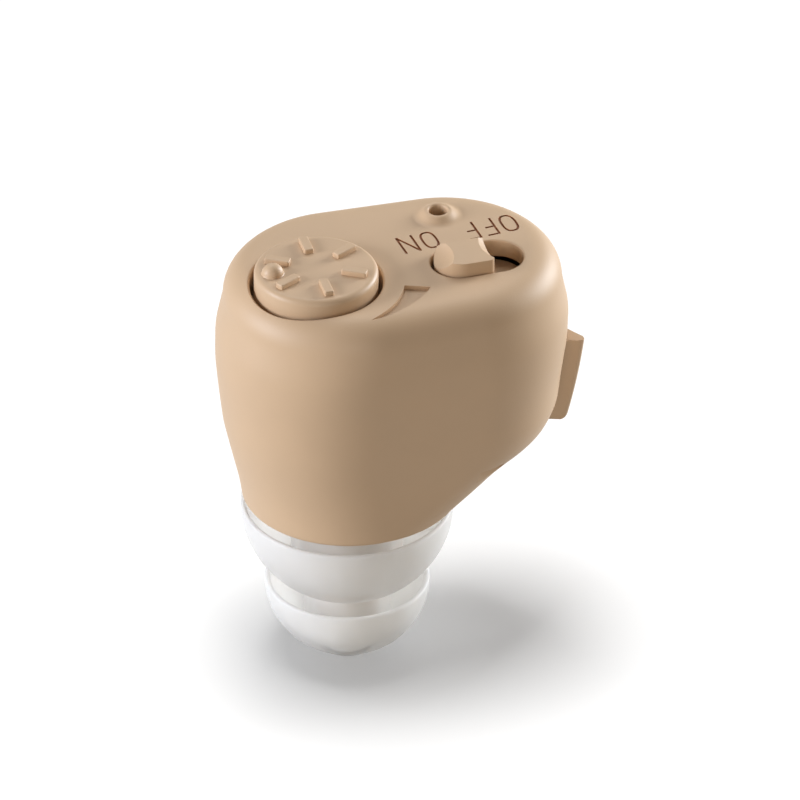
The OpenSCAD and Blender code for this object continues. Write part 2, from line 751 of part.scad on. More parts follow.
// Battery door: outer wall, hinge barrel, cradle floor and cradle ring in one piece
floor_r = 3.65;
cradle_gap = 0.06;
cradle_wall = 0.55;
cradle_h_share = 0.83;
cradle_from = -30;
cradle_to = 165;
barrel_core_r = 1.2;
tab_steps = 10;
tab_mid_share = 0.5;
tab_step = 0.3;
tab_turn = -17;
root_shares = [0.28, 0.9];
low_x = end_x(door_foot, seam_y);
high_x = end_x(door_z1 - neck_z, seam_y);
root_low = low_x + root_shares[0] * (high_x - low_x);
root_high = low_x + root_shares[1] * (high_x - low_x);
tab_lean = atan((root_high - root_low) / (door_z1 - door_z0));

// Plan of the nail tab: a flat front face square to the body, a rounded tip and a hollow sweep back
function bend(a, b, c, t) = (1 - t) * (1 - t) * a + 2 * t * (1 - t) * b + t * t * c;
function turned(p, t) = [p[0] * cos(t) - p[1] * sin(t), p[0] * sin(t) + p[1] * cos(t)];
tab_tip = [for (p = arc(tab_proud - tab_step - tab_t / 2, tab_t / 2, tab_t / 2, -90, 60, tab_steps))
    [tab_step, 0] + turned(p, tab_turn)];
tab_end = tab_tip[tab_steps];
tab_points = concat(
    [[-0.75 * wall, 0], [tab_step, 0]],
    tab_tip,
    [for (i = [1:tab_steps]) let(t = i / tab_steps)
        [bend(tab_end[0], tab_mid_share * tab_proud, -wall / 2, t),
            bend(tab_end[1], 2.2 * tab_t, tab_l, t)]],
    [[-0.75 * wall, tab_l]]);

module cradle_ring() {
    far = 4 * cell_r;
    difference() {
        rod(cell_x, cell_y, cell_r + cradle_gap + cradle_wall,
            door_z0 + door_gap, cell_z + cradle_h_share * cell_h);
        translate([cell_x, cell_y, 0]) prism(door_z0, door_z1) polygon([[0, 0],
            [far * cos(cradle_to), far * sin(cradle_to)], [-far, -far], [far, -far],
            [far * cos(cradle_from), far * sin(cradle_from)]]);
    }
}

module battery_door() color([0.72, 0.63, 0.54]) {
    low = door_z0 + door_gap;
    high = door_z1 - door_gap;
    difference() {
        union() {
            difference() {
                intersection() {
                    body_solid();
                    prism(low, high) opening_plan(door_gap);
                }
                cavity();
            }
            intersection() {
                body_solid();
                rod(pin_x, pin_y, barrel_core_r, low, high);
            }
            intersection() {
                body_solid();
                union() {
                    cradle_ring();
                    rod(cell_x, cell_y, floor_r, low, low + cradle_t);
                }
                translate([0, 0, low]) linear_extrude(high - low) union() {
                    opening_plan(door_gap);
                    translate([cell_x, cell_y]) circle(r = floor_r);
                    translate([cell_x - 2 * cell_r, cell_y]) square([2 * cell_r, 2 * cell_r]);
                }
            }
            intersection() {
                translate([root_low, seam_y + door_gap, door_z0]) rotate([0, tab_lean, 0])
                    translate([0, 0, -over])
                        linear_extrude(door_z1 - door_z0 + 2 * over + tab_proud) polygon(tab_points);
                prism(low, high) translate([root_low - wall, seam_y - tab_proud]) square(2 * half_w);
            }
        }
        rod(cell_x, cell_y, cell_r + cradle_gap, cell_z - run_gap / 2, high + over);
        rod(pin_x, pin_y, pin_r + run_gap, low - over, high + over);
    }
}

module door_hinge_pin() color([0.8, 0.8, 0.82]) {
    rod(pin_x, pin_y, pin_r, door_z0 - pin_seat, door_z1 + pin_seat);
}

// Button cell: can, gasket, cap and filling
can_t = 0.25;
can_h_share = 0.86;
gasket_t = 0.22;
cap_t = 0.2;
cap_r = cell_r - can_t - gasket_t - 2 * press_gap;
gasket_z = cell_z + can_t + gasket_t;

module battery_can() color([0.82, 0.82, 0.83]) {
    difference() {
        rod(cell_x, cell_y, cell_r, cell_z, cell_z + can_h_share * cell_h);
        rod(cell_x, cell_y, cell_r - can_t, cell_z + can_t, cell_z + cell_h);
    }
}

module battery_gasket() color([0.2, 0.45, 0.3]) {
    difference() {
        rod(cell_x, cell_y, cell_r - can_t - press_gap, cell_z + can_t, cell_z + can_h_share * cell_h);
        rod(cell_x, cell_y, cap_r + press_gap, gasket_z, cell_z + cell_h);
        rod(cell_x, cell_y, cap_r - cap_t, cell_z, cell_z + cell_h);
    }
}

module battery_cap() color([0.85, 0.84, 0.82]) {
    difference() {
        rod(cell_x, cell_y, cap_r, gasket_z, cell_z + cell_h);
        rod(cell_x, cell_y, cap_r - cap_t, gasket_z - over, cell_z + cell_h - cap_t);
    }
}

module battery_filling() color([0.45, 0.45, 0.47]) {
    rod(cell_x, cell_y, cap_r - cap_t - press_gap, cell_z + can_t, cell_z + cell_h - cap_t);
}

// Contact springs: the positive one bears on the can's side, the negative one on the cap
leaf_t = 0.15;
leaf_w = 1;
positive_y = -0.9;
positive_out = 0.5;
negative_w = 1.5;
negative_l = 3;

module battery_contact_positive() color([0.85, 0.7, 0.35]) {
    touch_x = cell_x - sqrt(pow(cell_r, 2) - pow(positive_y + leaf_w / 2 - cell_y, 2)) - run_gap;
    back_x = touch_x - positive_out;
    mid_z = cell_z + cell_h / 2;
    foot_z = cell_z + cell_h / 6;
    translate([0, positive_y + leaf_w / 2, 0]) rotate([90, 0, 0]) linear_extrude(leaf_w) polygon([
        [back_x, board_z], [back_x, mid_z + positive_out], [touch_x - leaf_t, mid_z],
        [touch_x - leaf_t, mid_z - positive_out], [back_x, foot_z], [back_x + leaf_t, foot_z],
        [touch_x, mid_z - positive_out], [touch_x, mid_z], [back_x + leaf_t, mid_z + positive_out],
        [back_x + leaf_t, board_z]]);
}

module battery_contact_negative() color([0.85, 0.7, 0.35]) {
    touch_z = cell_z + cell_h + run_gap;
    pad_l = negative_l / 3;
    translate([cell_x - pad_l, cell_y + negative_w / 2, 0]) rotate([90, 0, 0])
        linear_extrude(negative_w) polygon([
        [-pad_l, board_z], [-pad_l, board_z - leaf_t], [0, board_z - leaf_t], [1.5 * pad_l, touch_z],
        [2 * pad_l, touch_z + leaf_t], [2 * pad_l - leaf_t / 2, touch_z + 1.7 * leaf_t],
        [1.5 * pad_l, touch_z + leaf_t], [0, board_z]]);
}

main_shell();
underside_cover();
nozzle();
wax_guard();
ear_tip();
volume_dial();
potentiometer_case();
potentiometer_rotor();
potentiometer_pins();
power_slider();
switch_case();
switch_actuator();
switch_pins();
microphone_capsule();
microphone_boot();
microphone_screen();
microphone_leads();
receiver();
receiver_boot();
sound_tube();
receiver_leads();
circuit_board();
amplifier_chip();
capacitors();
resistors();
board_screws();
battery_door();
door_hinge_pin();
battery_can();
battery_gasket();
battery_cap();
battery_filling();
battery_contact_positive();
battery_contact_negative();
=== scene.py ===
"""The looks of an in-the-ear hearing aid: a satin beige moulding with a ribbed volume dial, an ON/OFF
slider and a microphone port in its faceplate, a swing-out battery door and a milky two-flange ear tip.
Sizes are in millimetres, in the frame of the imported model, and become metres as a mesh is made."""
import math
import bmesh
import bpy
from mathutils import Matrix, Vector
from mathutils.geometry import delaunay_2d_cdt


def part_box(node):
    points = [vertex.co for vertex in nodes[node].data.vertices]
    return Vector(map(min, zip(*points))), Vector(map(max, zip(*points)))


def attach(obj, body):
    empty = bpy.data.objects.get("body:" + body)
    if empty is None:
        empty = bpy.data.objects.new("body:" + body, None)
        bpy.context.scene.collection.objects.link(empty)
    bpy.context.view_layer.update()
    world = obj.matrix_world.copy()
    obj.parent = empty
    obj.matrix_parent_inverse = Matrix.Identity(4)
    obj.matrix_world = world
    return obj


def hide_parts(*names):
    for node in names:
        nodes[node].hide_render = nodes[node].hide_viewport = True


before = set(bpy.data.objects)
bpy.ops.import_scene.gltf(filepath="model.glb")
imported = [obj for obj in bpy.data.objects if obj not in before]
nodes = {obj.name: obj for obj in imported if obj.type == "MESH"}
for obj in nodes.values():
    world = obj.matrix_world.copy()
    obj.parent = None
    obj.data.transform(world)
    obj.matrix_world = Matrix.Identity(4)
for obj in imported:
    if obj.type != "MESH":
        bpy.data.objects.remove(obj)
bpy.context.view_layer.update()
MM = 0.001

# Sizes of the body
TIP_H, TIP_GAP, BODY_H = 10.1, 0.1, 14.8
NECK_Z = TIP_H + TIP_GAP
FACE_Z = NECK_Z + BODY_H
HALF_W, LOBE_REACH, EDGE_R, FOOT_R = 6.87, 6.0, 1.8, 0.2
WALL, FACE_T, SLOPE_LIFT = 0.9, 1.05, 0.3
SHOULDER_H = BODY_H - EDGE_R
SHOULDER_Z = NECK_Z + SHOULDER_H
CEILING_Z = FACE_Z - FACE_T
STATIONS = [0, 0.1, 0.2, 0.3, 0.4, 0.55, 0.7, 0.85, 1]
LEFT_R = [0.865, 0.866, 0.873, 0.888, 0.914, 0.945, 0.978, 1, 0.991]
LEFT_X = [0.016, -0.013, -0.05, -0.079, -0.095, -0.096, -0.089, -0.063, -0.006]
RIGHT_X = [0.028, 0.345, 0.6, 0.91, 0.988, 0.99, 1.003, 0.992, 0.935]
RIGHT_R = [1, 0.97, 0.961, 0.961, 0.961, 0.961, 0.961, 0.961, 0.961]
BLEND_H = 0.4

# Sizes of the faceplate's features
DIAL = Vector((-2.06, -0.97))
DIAL_R, DIAL_GAP, DIAL_PROUD, RECESS_D = 3.45, 0.25, 0.82, 1.65
RECESS_R, RECESS_Z = DIAL_R + DIAL_GAP, FACE_Z - RECESS_D
SLOT = Vector((7.1, -1.44))
SLOT_L, SLOT_W = 5.28, 3.2
PORT = Vector((6.32, 3.41))
PORT_R, PORT_FOOT_R = 0.52, 1.4
RAMP_R, RAMP_W, RAMP_FROM, RAMP_TO, RAMP_D = 4.9, 1.47, -22.4, -68.4, 0.25
LETTER_H, STROKE, LETTER_D, LETTER_TILT = 1.68, 0.135, 0.1, 4.3
OVER = 0.5

# Sizes of the battery door and its cell
RUN_GAP, DOOR_GAP, DOOR_FOOT, HEAD_ROOM = 0.05, 0.08, 3.5, 0.52
CELL = Vector((6.5, 0.5))
CELL_R, CELL_H = 3.95, 3.6
CRADLE_T, CRADLE_GAP, CRADLE_WALL, CRADLE_SHARE, TRAY_R = 1.0, 0.06, 0.55, 0.83, 3.65
CRADLE_TURNS = (-30, 15, 60, 120, 165)
DOOR_Z0 = NECK_Z + DOOR_FOOT
CELL_Z = DOOR_Z0 + DOOR_GAP + CRADLE_T + RUN_GAP / 2
DOOR_Z1 = CELL_Z + CELL_H + HEAD_ROOM
SEAM_Y = -1.9
PIN = Vector((3.0, 5.1))
PIN_R, PIN_SEAT, PIN_FIT, PIN_BOSS_R, BARREL_R, HINGE_R = 0.4, 1.1, 0.01, 0.85, 2.1, 1.2

# Sizes of the underside cover and the pry notch
COVER_GAP = 0.05
COVER_TOP = DOOR_Z0 - COVER_GAP
COVER_INSET, COVER_FAR_X, COVER_FAR_R = 1.35, 5.2, 3.6
BOOT_GAP, BOOT_LIP, BOOT_SEAT_H, SPIGOT_R = 0.03, 0.5, 1.9, 1.61
NOTCH_D, NOTCH_W, NOTCH_RISE, NOTCH_TURN = 0.5, 1.65, 3.5, math.radians(-71)

# Sizes of what the shell holds
BOARD_LIFT, BOARD_T = 0.28, 0.6
BOARD_TOP = DOOR_Z1 + BOARD_LIFT + BOARD_T
POSTS, POST_R = ((2.7, 2.2), (2.7, -2.2)), 0.8
CUP_WALL, CUP_FLOOR, SHAFT_HOLE_R = 0.6, 0.7, 0.95
CAPSULE_R, MIC_BOOT_T, MIC_GAP, COLLAR_T, COLLAR_H = 1.5, 0.35, 0.03, 0.35, 1.45
MIC_R = CAPSULE_R + MIC_BOOT_T + MIC_GAP


def lookup(h, shares):
    """Linear value of a table of shares at the height h over the neck."""
    t = min(max(h / SHOULDER_H, 0), 1)
    for i in range(1, len(STATIONS)):
        if t <= STATIONS[i]:
            k = (t - STATIONS[i - 1]) / (STATIONS[i] - STATIONS[i - 1])
            return shares[i - 1] + k * (shares[i] - shares[i - 1])
    return shares[-1]


def smooth(h, shares):
    """The table's value, evened out over a band of heights."""
    return sum(lookup(h + step * BLEND_H, shares) for step in (-1, -0.5, 0, 0.5, 1)) / 5


def lobes(h):
    """The outline's two circles at a height: left x and radius, right x and radius."""
    r = HALF_W * smooth(h, LEFT_R)
    return HALF_W * smooth(h, LEFT_X), r, LOBE_REACH * smooth(h, RIGHT_X), r * smooth(h, RIGHT_R)


def arc(x, y, r, start, end, steps):
    """Points along an arc, in degrees."""
    turns = [math.radians(start + (end - start) * i / steps) for i in range(steps + 1)]
    return [(x + r * math.cos(t), y + r * math.sin(t)) for t in turns]


def between(a, b, steps):
    """The points strictly between two points."""
    return [(a[0] + (b[0] - a[0]) * i / steps, a[1] + (b[1] - a[1]) * i / steps) for i in range(1, steps)]


def two_lobes(x1, r1, x2, r2, right=46, side=14, left=54):
    """An outline round two circles on the X axis, anticlockwise from the right circle's lower tangent."""
    t = math.degrees(math.acos(max(-1, min(1, (r1 - r2) / (x2 - x1)))))
    right_arc = arc(x2, 0, r2, -t, t, right)
    left_arc = arc(x1, 0, r1, t, 360 - t, left)
    return (right_arc + between(right_arc[-1], left_arc[0], side)
            + left_arc + between(left_arc[-1], right_arc[0], side))


def section(h, inset=0):
    """The body's outline at a height over the neck, drawn in by an inset."""
    x1, r1, x2, r2 = lobes(min(h, SHOULDER_H))
    return two_lobes(x1, r1 - inset, x2, r2 - inset)


def end_x(h, y):
    """The body's outer surface along X."""
    _, _, x, r = lobes(h)
    return x + math.sqrt(r * r - y * y)


def depth_in(x, y):
    """How far a point of the plan lies inside the shoulder's outline."""
    x1, r1, x2, r2 = lobes(SHOULDER_H)
    t = math.acos((r1 - r2) / (x2 - x1))
    y = abs(y)
    if math.atan2(y, x - x2) < t:
        return r2 - math.hypot(x - x2, y)
    if math.atan2(y, x - x1) > t:
        return r1 - math.hypot(x - x1, y)
    return r1 - (x - x1) * math.cos(t) - y * math.sin(t)


def top_z(x, y):
    """Height of the rounded faceplate over a point of the plan."""
    d = min(max(depth_in(x, y), 0), EDGE_R)
    return SHOULDER_Z + math.sqrt(EDGE_R ** 2 - (EDGE_R - d) ** 2)


# Meshes

def build(name, points, faces, parts=()):
    """An object from points in millimetres; parts gives each face's material slot."""
    mesh = bpy.data.meshes.new(name)
    mesh.from_pydata([tuple(c * MM for c in p) for p in points], [], faces)
    if parts:
        mesh.polygons.foreach_set("material_index", parts)
    obj = bpy.data.objects.new(name, mesh)
    bpy.context.scene.collection.objects.link(obj)
    return obj


def weld(obj, outward=True, gap=0.0004):
    """Merges doubled points and turns the faces of a closed shape outwards."""
    work = bmesh.new()
    work.from_mesh(obj.data)
    bmesh.ops.remove_doubles(work, verts=work.verts, dist=gap * MM)
    bmesh.ops.dissolve_degenerate(work, edges=work.edges, dist=gap * MM / 4)
    if outward:
        bmesh.ops.recalc_face_normals(work, faces=work.faces)
    work.to_mesh(obj.data)
    work.free()
    return obj


def soften(obj, angle=32):
    """Smooth shading that keeps the edges sharper than an angle."""
    obj.data.shade_smooth()
    obj.data.set_sharp_from_angle(angle=math.radians(angle))
    return obj


def wall_faces(count, rows):
    """The faces between rows of equal counts of points, and the first row's cap."""
    faces = []
    for j in range(rows - 1):
        for i in range(count):
            k = (i + 1) % count
            faces.append((j * count + i, j * count + k, (j + 1) * count + k, (j + 1) * count + i))
    faces.append(tuple(reversed(range(count))))
    return faces


def loft(name, rings):
    """A closed solid through rings of equal counts of points."""
    count = len(rings[0])
    faces = wall_faces(count, len(rings))
    faces.append(tuple((len(rings) - 1) * count + i for i in range(count)))
    return build(name, [p for ring in rings for p in ring], faces)


def prism(name, plan, low, high):
    """A closed solid over a plan, between two heights."""
    return loft(name, [[(x, y, z) for x, y in plan] for z in (low, high)])


def circle(place, r, steps):
    """Points round a whole circle."""
    return arc(place[0], place[1], r, 0, 360 - 360 / steps, steps - 1)


def rod(name, place, r, low, high, steps=72):
    """An upright round rod between two heights."""
    return prism(name, circle(place, r, steps), low, high)


def block(name, x0, x1, y0, y1, z0, z1):
    """A block between pairs of coordinates."""
    return prism(name, [(x0, y0), (x1, y0), (x1, y1), (x0, y1)], z0, z1)


def lathe(name, profile, place, steps=144):
    """A solid turned about a vertical axis from a closed profile, or one that starts and ends on it."""
    points, rows = [], []
    for r, z in profile:
        if r < 1e-6:
            points.append((place[0], place[1], z))
            rows.append([len(points) - 1] * steps)
        else:
            rows.append(list(range(len(points), len(points) + steps)))
            points += [(x, y, z) for x, y in circle(place, r, steps)]
    on_axis = profile[0][0] < 1e-6
    pairs = list(zip(rows, rows[1:])) + ([] if on_axis else [(rows[-1], rows[0])])
    faces = []
    for low, high in pairs:
        for i in range(steps):
            k = (i + 1) % steps
            corners = [low[i], low[k], high[k], high[i]]
            faces.append(tuple(c for n, c in enumerate(corners) if c not in corners[:n]))
    return weld(build(name, points, [f for f in faces if len(f) > 2]))


def settle(obj):
    """Turns an object's modifiers into its plain mesh."""
    shown = obj.evaluated_get(bpy.context.evaluated_depsgraph_get())
    mesh = bpy.data.meshes.new_from_object(shown)
    obj.modifiers.clear()
    old, obj.data = obj.data, mesh
    bpy.data.meshes.remove(old)
    return obj


def carve(obj, tool, how="DIFFERENCE"):
    """Cuts, joins or crosses a solid with another one, which is used up."""
    step = obj.modifiers.new("carve", "BOOLEAN")
    step.operation, step.object, step.solver = how, tool, "EXACT"
    settle(obj)
    mesh = tool.data
    bpy.data.objects.remove(tool)
    bpy.data.meshes.remove(mesh)
    return obj


# Materials

def shades(rgb):
    """A colour as it is seen, from 0 to 255, as the shader's linear colour."""
    linear = [c / 255 / 12.92 if c <= 10 else ((c / 255 + 0.055) / 1.055) ** 2.4 for c in rgb]
    return (*linear, 1)


def noise(tree, place, size, detail):
    """A cloud in the object's own space, whose grains have a size in millimetres."""
    cloud = tree.nodes.new("ShaderNodeTexNoise")
    cloud.inputs["Scale"].default_value = 1 / (size * MM)
    cloud.inputs["Detail"].default_value = detail
    tree.links.new(place.outputs["Object"], cloud.inputs["Vector"])
    return cloud.outputs["Fac"]


def tinted(tree, fac, rgb, tint):
    """A colour that drifts a little darker and lighter."""
    ramp = tree.nodes.new("ShaderNodeValToRGB")
    low, high = ramp.color_ramp.elements
    low.position, high.position = 0.3, 0.7
    colour = shades(rgb)[:3]
    low.color = tuple(c * (1 - tint) for c in colour) + (1,)
    high.color = tuple(min(c * (1 + tint), 1) for c in colour) + (1,)
    tree.links.new(fac, ramp.inputs["Fac"])
    return ramp.outputs["Color"]


def mapped(tree, fac, low, high):
    """A value that runs from low to high as fac runs from 0 to 1."""
    level = tree.nodes.new("ShaderNodeMapRange")
    level.inputs["To Min"].default_value = low
    level.inputs["To Max"].default_value = high
    tree.links.new(fac, level.inputs["Value"])
    return level.outputs["Result"]


def finish(name, rgb, rough=0.45, grain=0.12, depth=0.004, tint=0.03, drift=3.0, metal=0.0, **sockets):
    """A finish with a fine grain of the given size and depth in millimetres, a slow drift of its colour over
    drift millimetres and a roughness that varies with it."""
    mat = bpy.data.materials.new(name)
    mat.use_nodes = True
    tree = mat.node_tree
    shader = tree.nodes["Principled BSDF"]
    place = tree.nodes.new("ShaderNodeTexCoord")
    cloud = noise(tree, place, drift, 4)
    tree.links.new(tinted(tree, cloud, rgb, tint), shader.inputs["Base Color"])
    level = mapped(tree, cloud, max(rough - ROUGH_SPREAD, 0), rough + ROUGH_SPREAD)
    tree.links.new(level, shader.inputs["Roughness"])
    bump = tree.nodes.new("ShaderNodeBump")
    bump.inputs["Distance"].default_value = depth * MM
    tree.links.new(noise(tree, place, grain, 3), bump.inputs["Height"])
    tree.links.new(bump.outputs["Normal"], shader.inputs["Normal"])
    shader.inputs["Metallic"].default_value = metal
    for socket, value in sockets.items():
        shader.inputs[socket.replace("_", " ")].default_value = value
    return mat


def see_through(mat, seen, lit):
    """Lets a share of what lies behind be seen, and a share of the light pass on."""
    tree = mat.node_tree
    clear, blend = tree.nodes.new("ShaderNodeBsdfTransparent"), tree.nodes.new("ShaderNodeMixShader")
    ray = tree.nodes.new("ShaderNodeLightPath")
    tree.links.new(mapped(tree, ray.outputs["Is Shadow Ray"], seen, lit), blend.inputs["Fac"])
    tree.links.new(tree.nodes["Principled BSDF"].outputs[0], blend.inputs[1])
    tree.links.new(clear.outputs[0], blend.inputs[2])
    tree.links.new(blend.outputs[0], tree.nodes["Material Output"].inputs["Surface"])


BEIGE = (203, 172, 138)
ROUGH_SPREAD = 0.05
moulding = finish("beige_moulding", BEIGE, rough=0.52, tint=0.02)
moulding_dial = finish("beige_dial", BEIGE, rough=0.48, grain=0.1, tint=0.02)
letter_paint = finish("letter_brown", (158, 100, 60), rough=0.6, tint=0.08, drift=0.4)
nozzle_plastic = finish("nozzle_beige", (196, 170, 143), rough=0.5)
silicone = finish("milky_silicone", (241, 238, 233), rough=0.5, grain=0.3, depth=0.003, tint=0.01,
                  Subsurface_Weight=0.6, Subsurface_Radius=(1.0, 0.95, 0.9), Subsurface_Scale=0.001)
see_through(silicone, 0.42, 0.65)
white_plastic = finish("white_plastic", (232, 231, 226), rough=0.4)
black_plastic = finish("black_plastic", (34, 34, 36), rough=0.45)
nickel = finish("satin_nickel", (196, 196, 199), rough=0.28, grain=0.05, metal=1.0)
tin = finish("bright_tin", (206, 206, 200), rough=0.22, grain=0.08, metal=1.0)
dark_mesh = finish("dark_mesh", (88, 82, 74), rough=0.4, grain=0.05, metal=0.6)
dark_rubber = finish("dark_rubber", (48, 48, 50), rough=0.75, grain=0.08)
red_cover = finish("red_insulation", (176, 44, 36), rough=0.3)
blue_cover = finish("blue_insulation", (52, 88, 158), rough=0.3)
clear_tube = finish("clear_tube", (214, 218, 218), rough=0.25, Transmission_Weight=0.7, IOR=1.45)
solder_resist = finish("solder_resist", (24, 92, 52), rough=0.3, grain=0.4, tint=0.12, drift=1.0)
ceramic = finish("ceramic_tan", (188, 150, 92), rough=0.5)
cell_steel = finish("cell_steel", (212, 212, 210), rough=0.2, grain=0.06, metal=1.0)
gasket_green = finish("gasket_green", (52, 116, 78), rough=0.5)
filling_grey = finish("cell_filling", (112, 112, 116), rough=0.8, grain=0.15, depth=0.02)
spring_gold = finish("spring_gold", (222, 184, 104), rough=0.25, grain=0.06, metal=1.0)

NODE_FINISH = {
    "nozzle": nozzle_plastic, "wax_guard": white_plastic, "potentiometer_case": nickel,
    "potentiometer_rotor": white_plastic, "potentiometer_pins": tin, "switch_case": nickel,
    "switch_actuator": black_plastic, "switch_pins": tin, "microphone_capsule": nickel,
    "microphone_boot": dark_rubber, "microphone_screen": dark_mesh, "microphone_leads": red_cover,
    "receiver": nickel, "receiver_boot": dark_rubber, "sound_tube": clear_tube,
    "receiver_leads": blue_cover, "circuit_board": solder_resist, "amplifier_chip": black_plastic,
    "capacitors": ceramic, "resistors": black_plastic, "board_screws": tin, "door_hinge_pin": tin,
    "battery_can": cell_steel, "battery_gasket": gasket_green, "battery_cap": cell_steel,
    "battery_filling": filling_grey, "battery_contact_positive": spring_gold,
    "battery_contact_negative": spring_gold,
}
for name, mat in NODE_FINISH.items():
    nodes[name].data.materials.clear()
    nodes[name].data.materials.append(mat)


# The faceplate's features

def stadium(place, length, width, steps=28):
    """Outline of a slot with round ends."""
    x = (length - width) / 2
    r = width / 2
    right_arc = arc(place[0] + x, place[1], r, -90, 90, steps)
    left_arc = arc(place[0] - x, place[1], r, 90, 270, steps)
    return (right_arc + between(right_arc[-1], left_arc[0], 8)
            + left_arc + between(left_arc[-1], right_arc[0], 8))


def inside(loop, x, y):
    """True if a point lies inside an outline."""
    found = False
    for (x1, y1), (x2, y2) in zip(loop, loop[1:] + loop[:1]):
        if (y1 > y) != (y2 > y) and x < x1 + (y - y1) * (x2 - x1) / (y2 - y1):
            found = not found
    return found


def letter_n(w, h):
    """The capital N's one outline."""
    slant = STROKE * math.hypot(1, h / (w - STROKE))
    return [[(0, 0), (STROKE, 0), (STROKE, h - slant), (w - STROKE, 0), (w, 0), (w, h),
             (w - STROKE, h), (w - STROKE, slant), (STROKE, h), (0, h)]]


def letter_f(w, h):
    """The capital F's one outline."""
    arm = 0.46 * h
    reach = 0.84 * w
    return [[(0, 0), (STROKE, 0), (STROKE, arm), (reach, arm), (reach, arm + STROKE), (STROKE, arm + STROKE),
             (STROKE, h - STROKE), (w, h - STROKE), (w, h), (0, h)]]


def letter_o(w, h, steps=44, power=0.74):
    """The capital O's outer and inner outlines."""
    loops = []
    for inset in (0, STROKE):
        a, b = w / 2 - inset, h / 2 - inset
        turns = [2 * math.pi * i / steps for i in range(steps)]
        loops.append([(w / 2 + a * math.copysign(abs(math.cos(t)) ** power, math.cos(t)),
                       h / 2 + b * math.copysign(abs(math.sin(t)) ** power, math.sin(t))) for t in turns])
    return loops


def placed(loops, w, centre):
    """A letter's loops, turned to be read from the back, with its middle at centre."""
    turn = math.radians(180 + LETTER_TILT)
    c, s = math.cos(turn), math.sin(turn)
    return [[(centre[0] + (x - w / 2) * c - (y - LETTER_H / 2) * s,
              centre[1] + (x - w / 2) * s + (y - LETTER_H / 2) * c) for x, y in loop] for loop in loops]


LETTERS = [placed(shape(w, LETTER_H), w, centre) for shape, w, centre in (
    (letter_n, 0.98, (3.89, 1.05)), (letter_o, 0.92, (5.14, 1.14)),
    (letter_f, 0.72, (7.62, 1.35)), (letter_f, 0.72, (8.70, 1.43)), (letter_o, 0.94, (9.84, 1.50)))]


def ramp_outline(steps=26):
    """The volume ramp: an arc round the dial that widens from a point."""
    loop = arc(DIAL.x, DIAL.y, RAMP_R, RAMP_FROM, RAMP_TO, steps)
    for i in range(steps - 1, -1, -1):
        turn = math.radians(RAMP_FROM + (RAMP_TO - RAMP_FROM) * i / steps)
        r = RAMP_R + RAMP_W * (1 - i / steps)
        loop.append((DIAL.x + r * math.cos(turn), DIAL.y + r * math.sin(turn)))
    return loop


RECESS_BEVEL, SLOT_BEVEL, SUPPORT = 0.14, 0.1, 0.05
slot_loop = stadium(SLOT, SLOT_L + 2 * SLOT_BEVEL, SLOT_W + 2 * SLOT_BEVEL)


def slot_inward(x, y):
    """Direction from the slot's outline towards its middle line."""
    half = (SLOT_L - SLOT_W) / 2
    core = Vector((min(max(x, SLOT.x - half), SLOT.x + half), SLOT.y))
    return (core - Vector((x, y))).normalized()


def towards(place):
    """Gives the direction from a point of the plan to a place."""
    return lambda x, y: (place - Vector((x, y))).normalized()


def rounded(bevel, bottom, steps=6):
    """Steps (inward, drop) of a rim that rounds over to upright and then runs down to a height."""
    turns = [math.pi / 2 * i / steps for i in range(1, steps + 1)]
    return [(bevel * math.sin(t), bevel * (1 - math.cos(t))) for t in turns] + [(bevel, bottom)]


# The port's cone rises from its foot to the rim of its hole
CONE = [(0.1, -0.012), (0.22, -0.045), (0.34, -0.11), (0.45, -0.19), (0.55, -0.27), (0.62, -0.32),
        (0.68, -0.355), (0.74, -0.37), (0.79, -0.366), (0.83, -0.345), (0.86, -0.31), (0.88, -0.26)]
FEATURES = [
    {"loops": [circle(DIAL, RECESS_R + RECESS_BEVEL, 120)], "inward": towards(DIAL),
     "steps": rounded(RECESS_BEVEL, RECESS_Z),
     "guard": [circle(DIAL, RECESS_R + RECESS_BEVEL + SUPPORT, 120)]},
    {"loops": [slot_loop], "inward": slot_inward,
     "steps": rounded(SLOT_BEVEL, CEILING_Z - OVER),
     "guard": [stadium(SLOT, SLOT_L + 2 * (SLOT_BEVEL + SUPPORT), SLOT_W + 2 * (SLOT_BEVEL + SUPPORT))]},
    {"loops": [circle(PORT, PORT_FOOT_R, 64)], "inward": towards(PORT),
     "steps": CONE + [(PORT_FOOT_R - PORT_R, CEILING_Z - OVER)],
     "guard": [circle(PORT, PORT_FOOT_R + SUPPORT, 64)]},
    {"loops": [ramp_outline()], "sunk": RAMP_D, "part": 0, "guard": []},
] + [{"loops": loops, "sunk": LETTER_D, "part": 1, "guard": []} for loops in LETTERS]


def holds(feature, x, y):
    """True if a point of the plan lies in a feature's opening."""
    return sum(inside(loop, x, y) for loop in feature["loops"]) % 2 == 1


def faceplate_loops(edge_steps=12):
    """The rings of the rounded edge and the outlines of the features."""
    loops = []
    for i in range(edge_steps + 1):
        inset = EDGE_R * (1 - math.cos(math.pi / 2 * i / edge_steps))
        loops.append(section(SHOULDER_H, inset))
    loops.append(section(SHOULDER_H, EDGE_R + SUPPORT))
    for feature in FEATURES:
        loops += feature["loops"] + feature["guard"]
    return loops


def drawn(loops):
    """The points and the edges of closed outlines."""
    plan, edges = [], []
    for loop in loops:
        first = len(plan)
        plan += [Vector(p) for p in loop]
        edges += [(first + i, first + (i + 1) % len(loop)) for i in range(len(loop))]
    return plan, edges


def shared_out(flat, triangles):
    """The triangles of the plain surface, and those in each feature's opening."""
    kept, owned = [], [[] for _ in FEATURES]
    for t in triangles:
        x = sum(flat[i].x for i in t) / 3
        y = sum(flat[i].y for i in t) / 3
        if depth_in(x, y) < 0:
            continue
        owner = next((n for n, f in enumerate(FEATURES) if holds(f, x, y)), None)
        (kept if owner is None else owned[owner]).append(tuple(t))
    return kept, owned


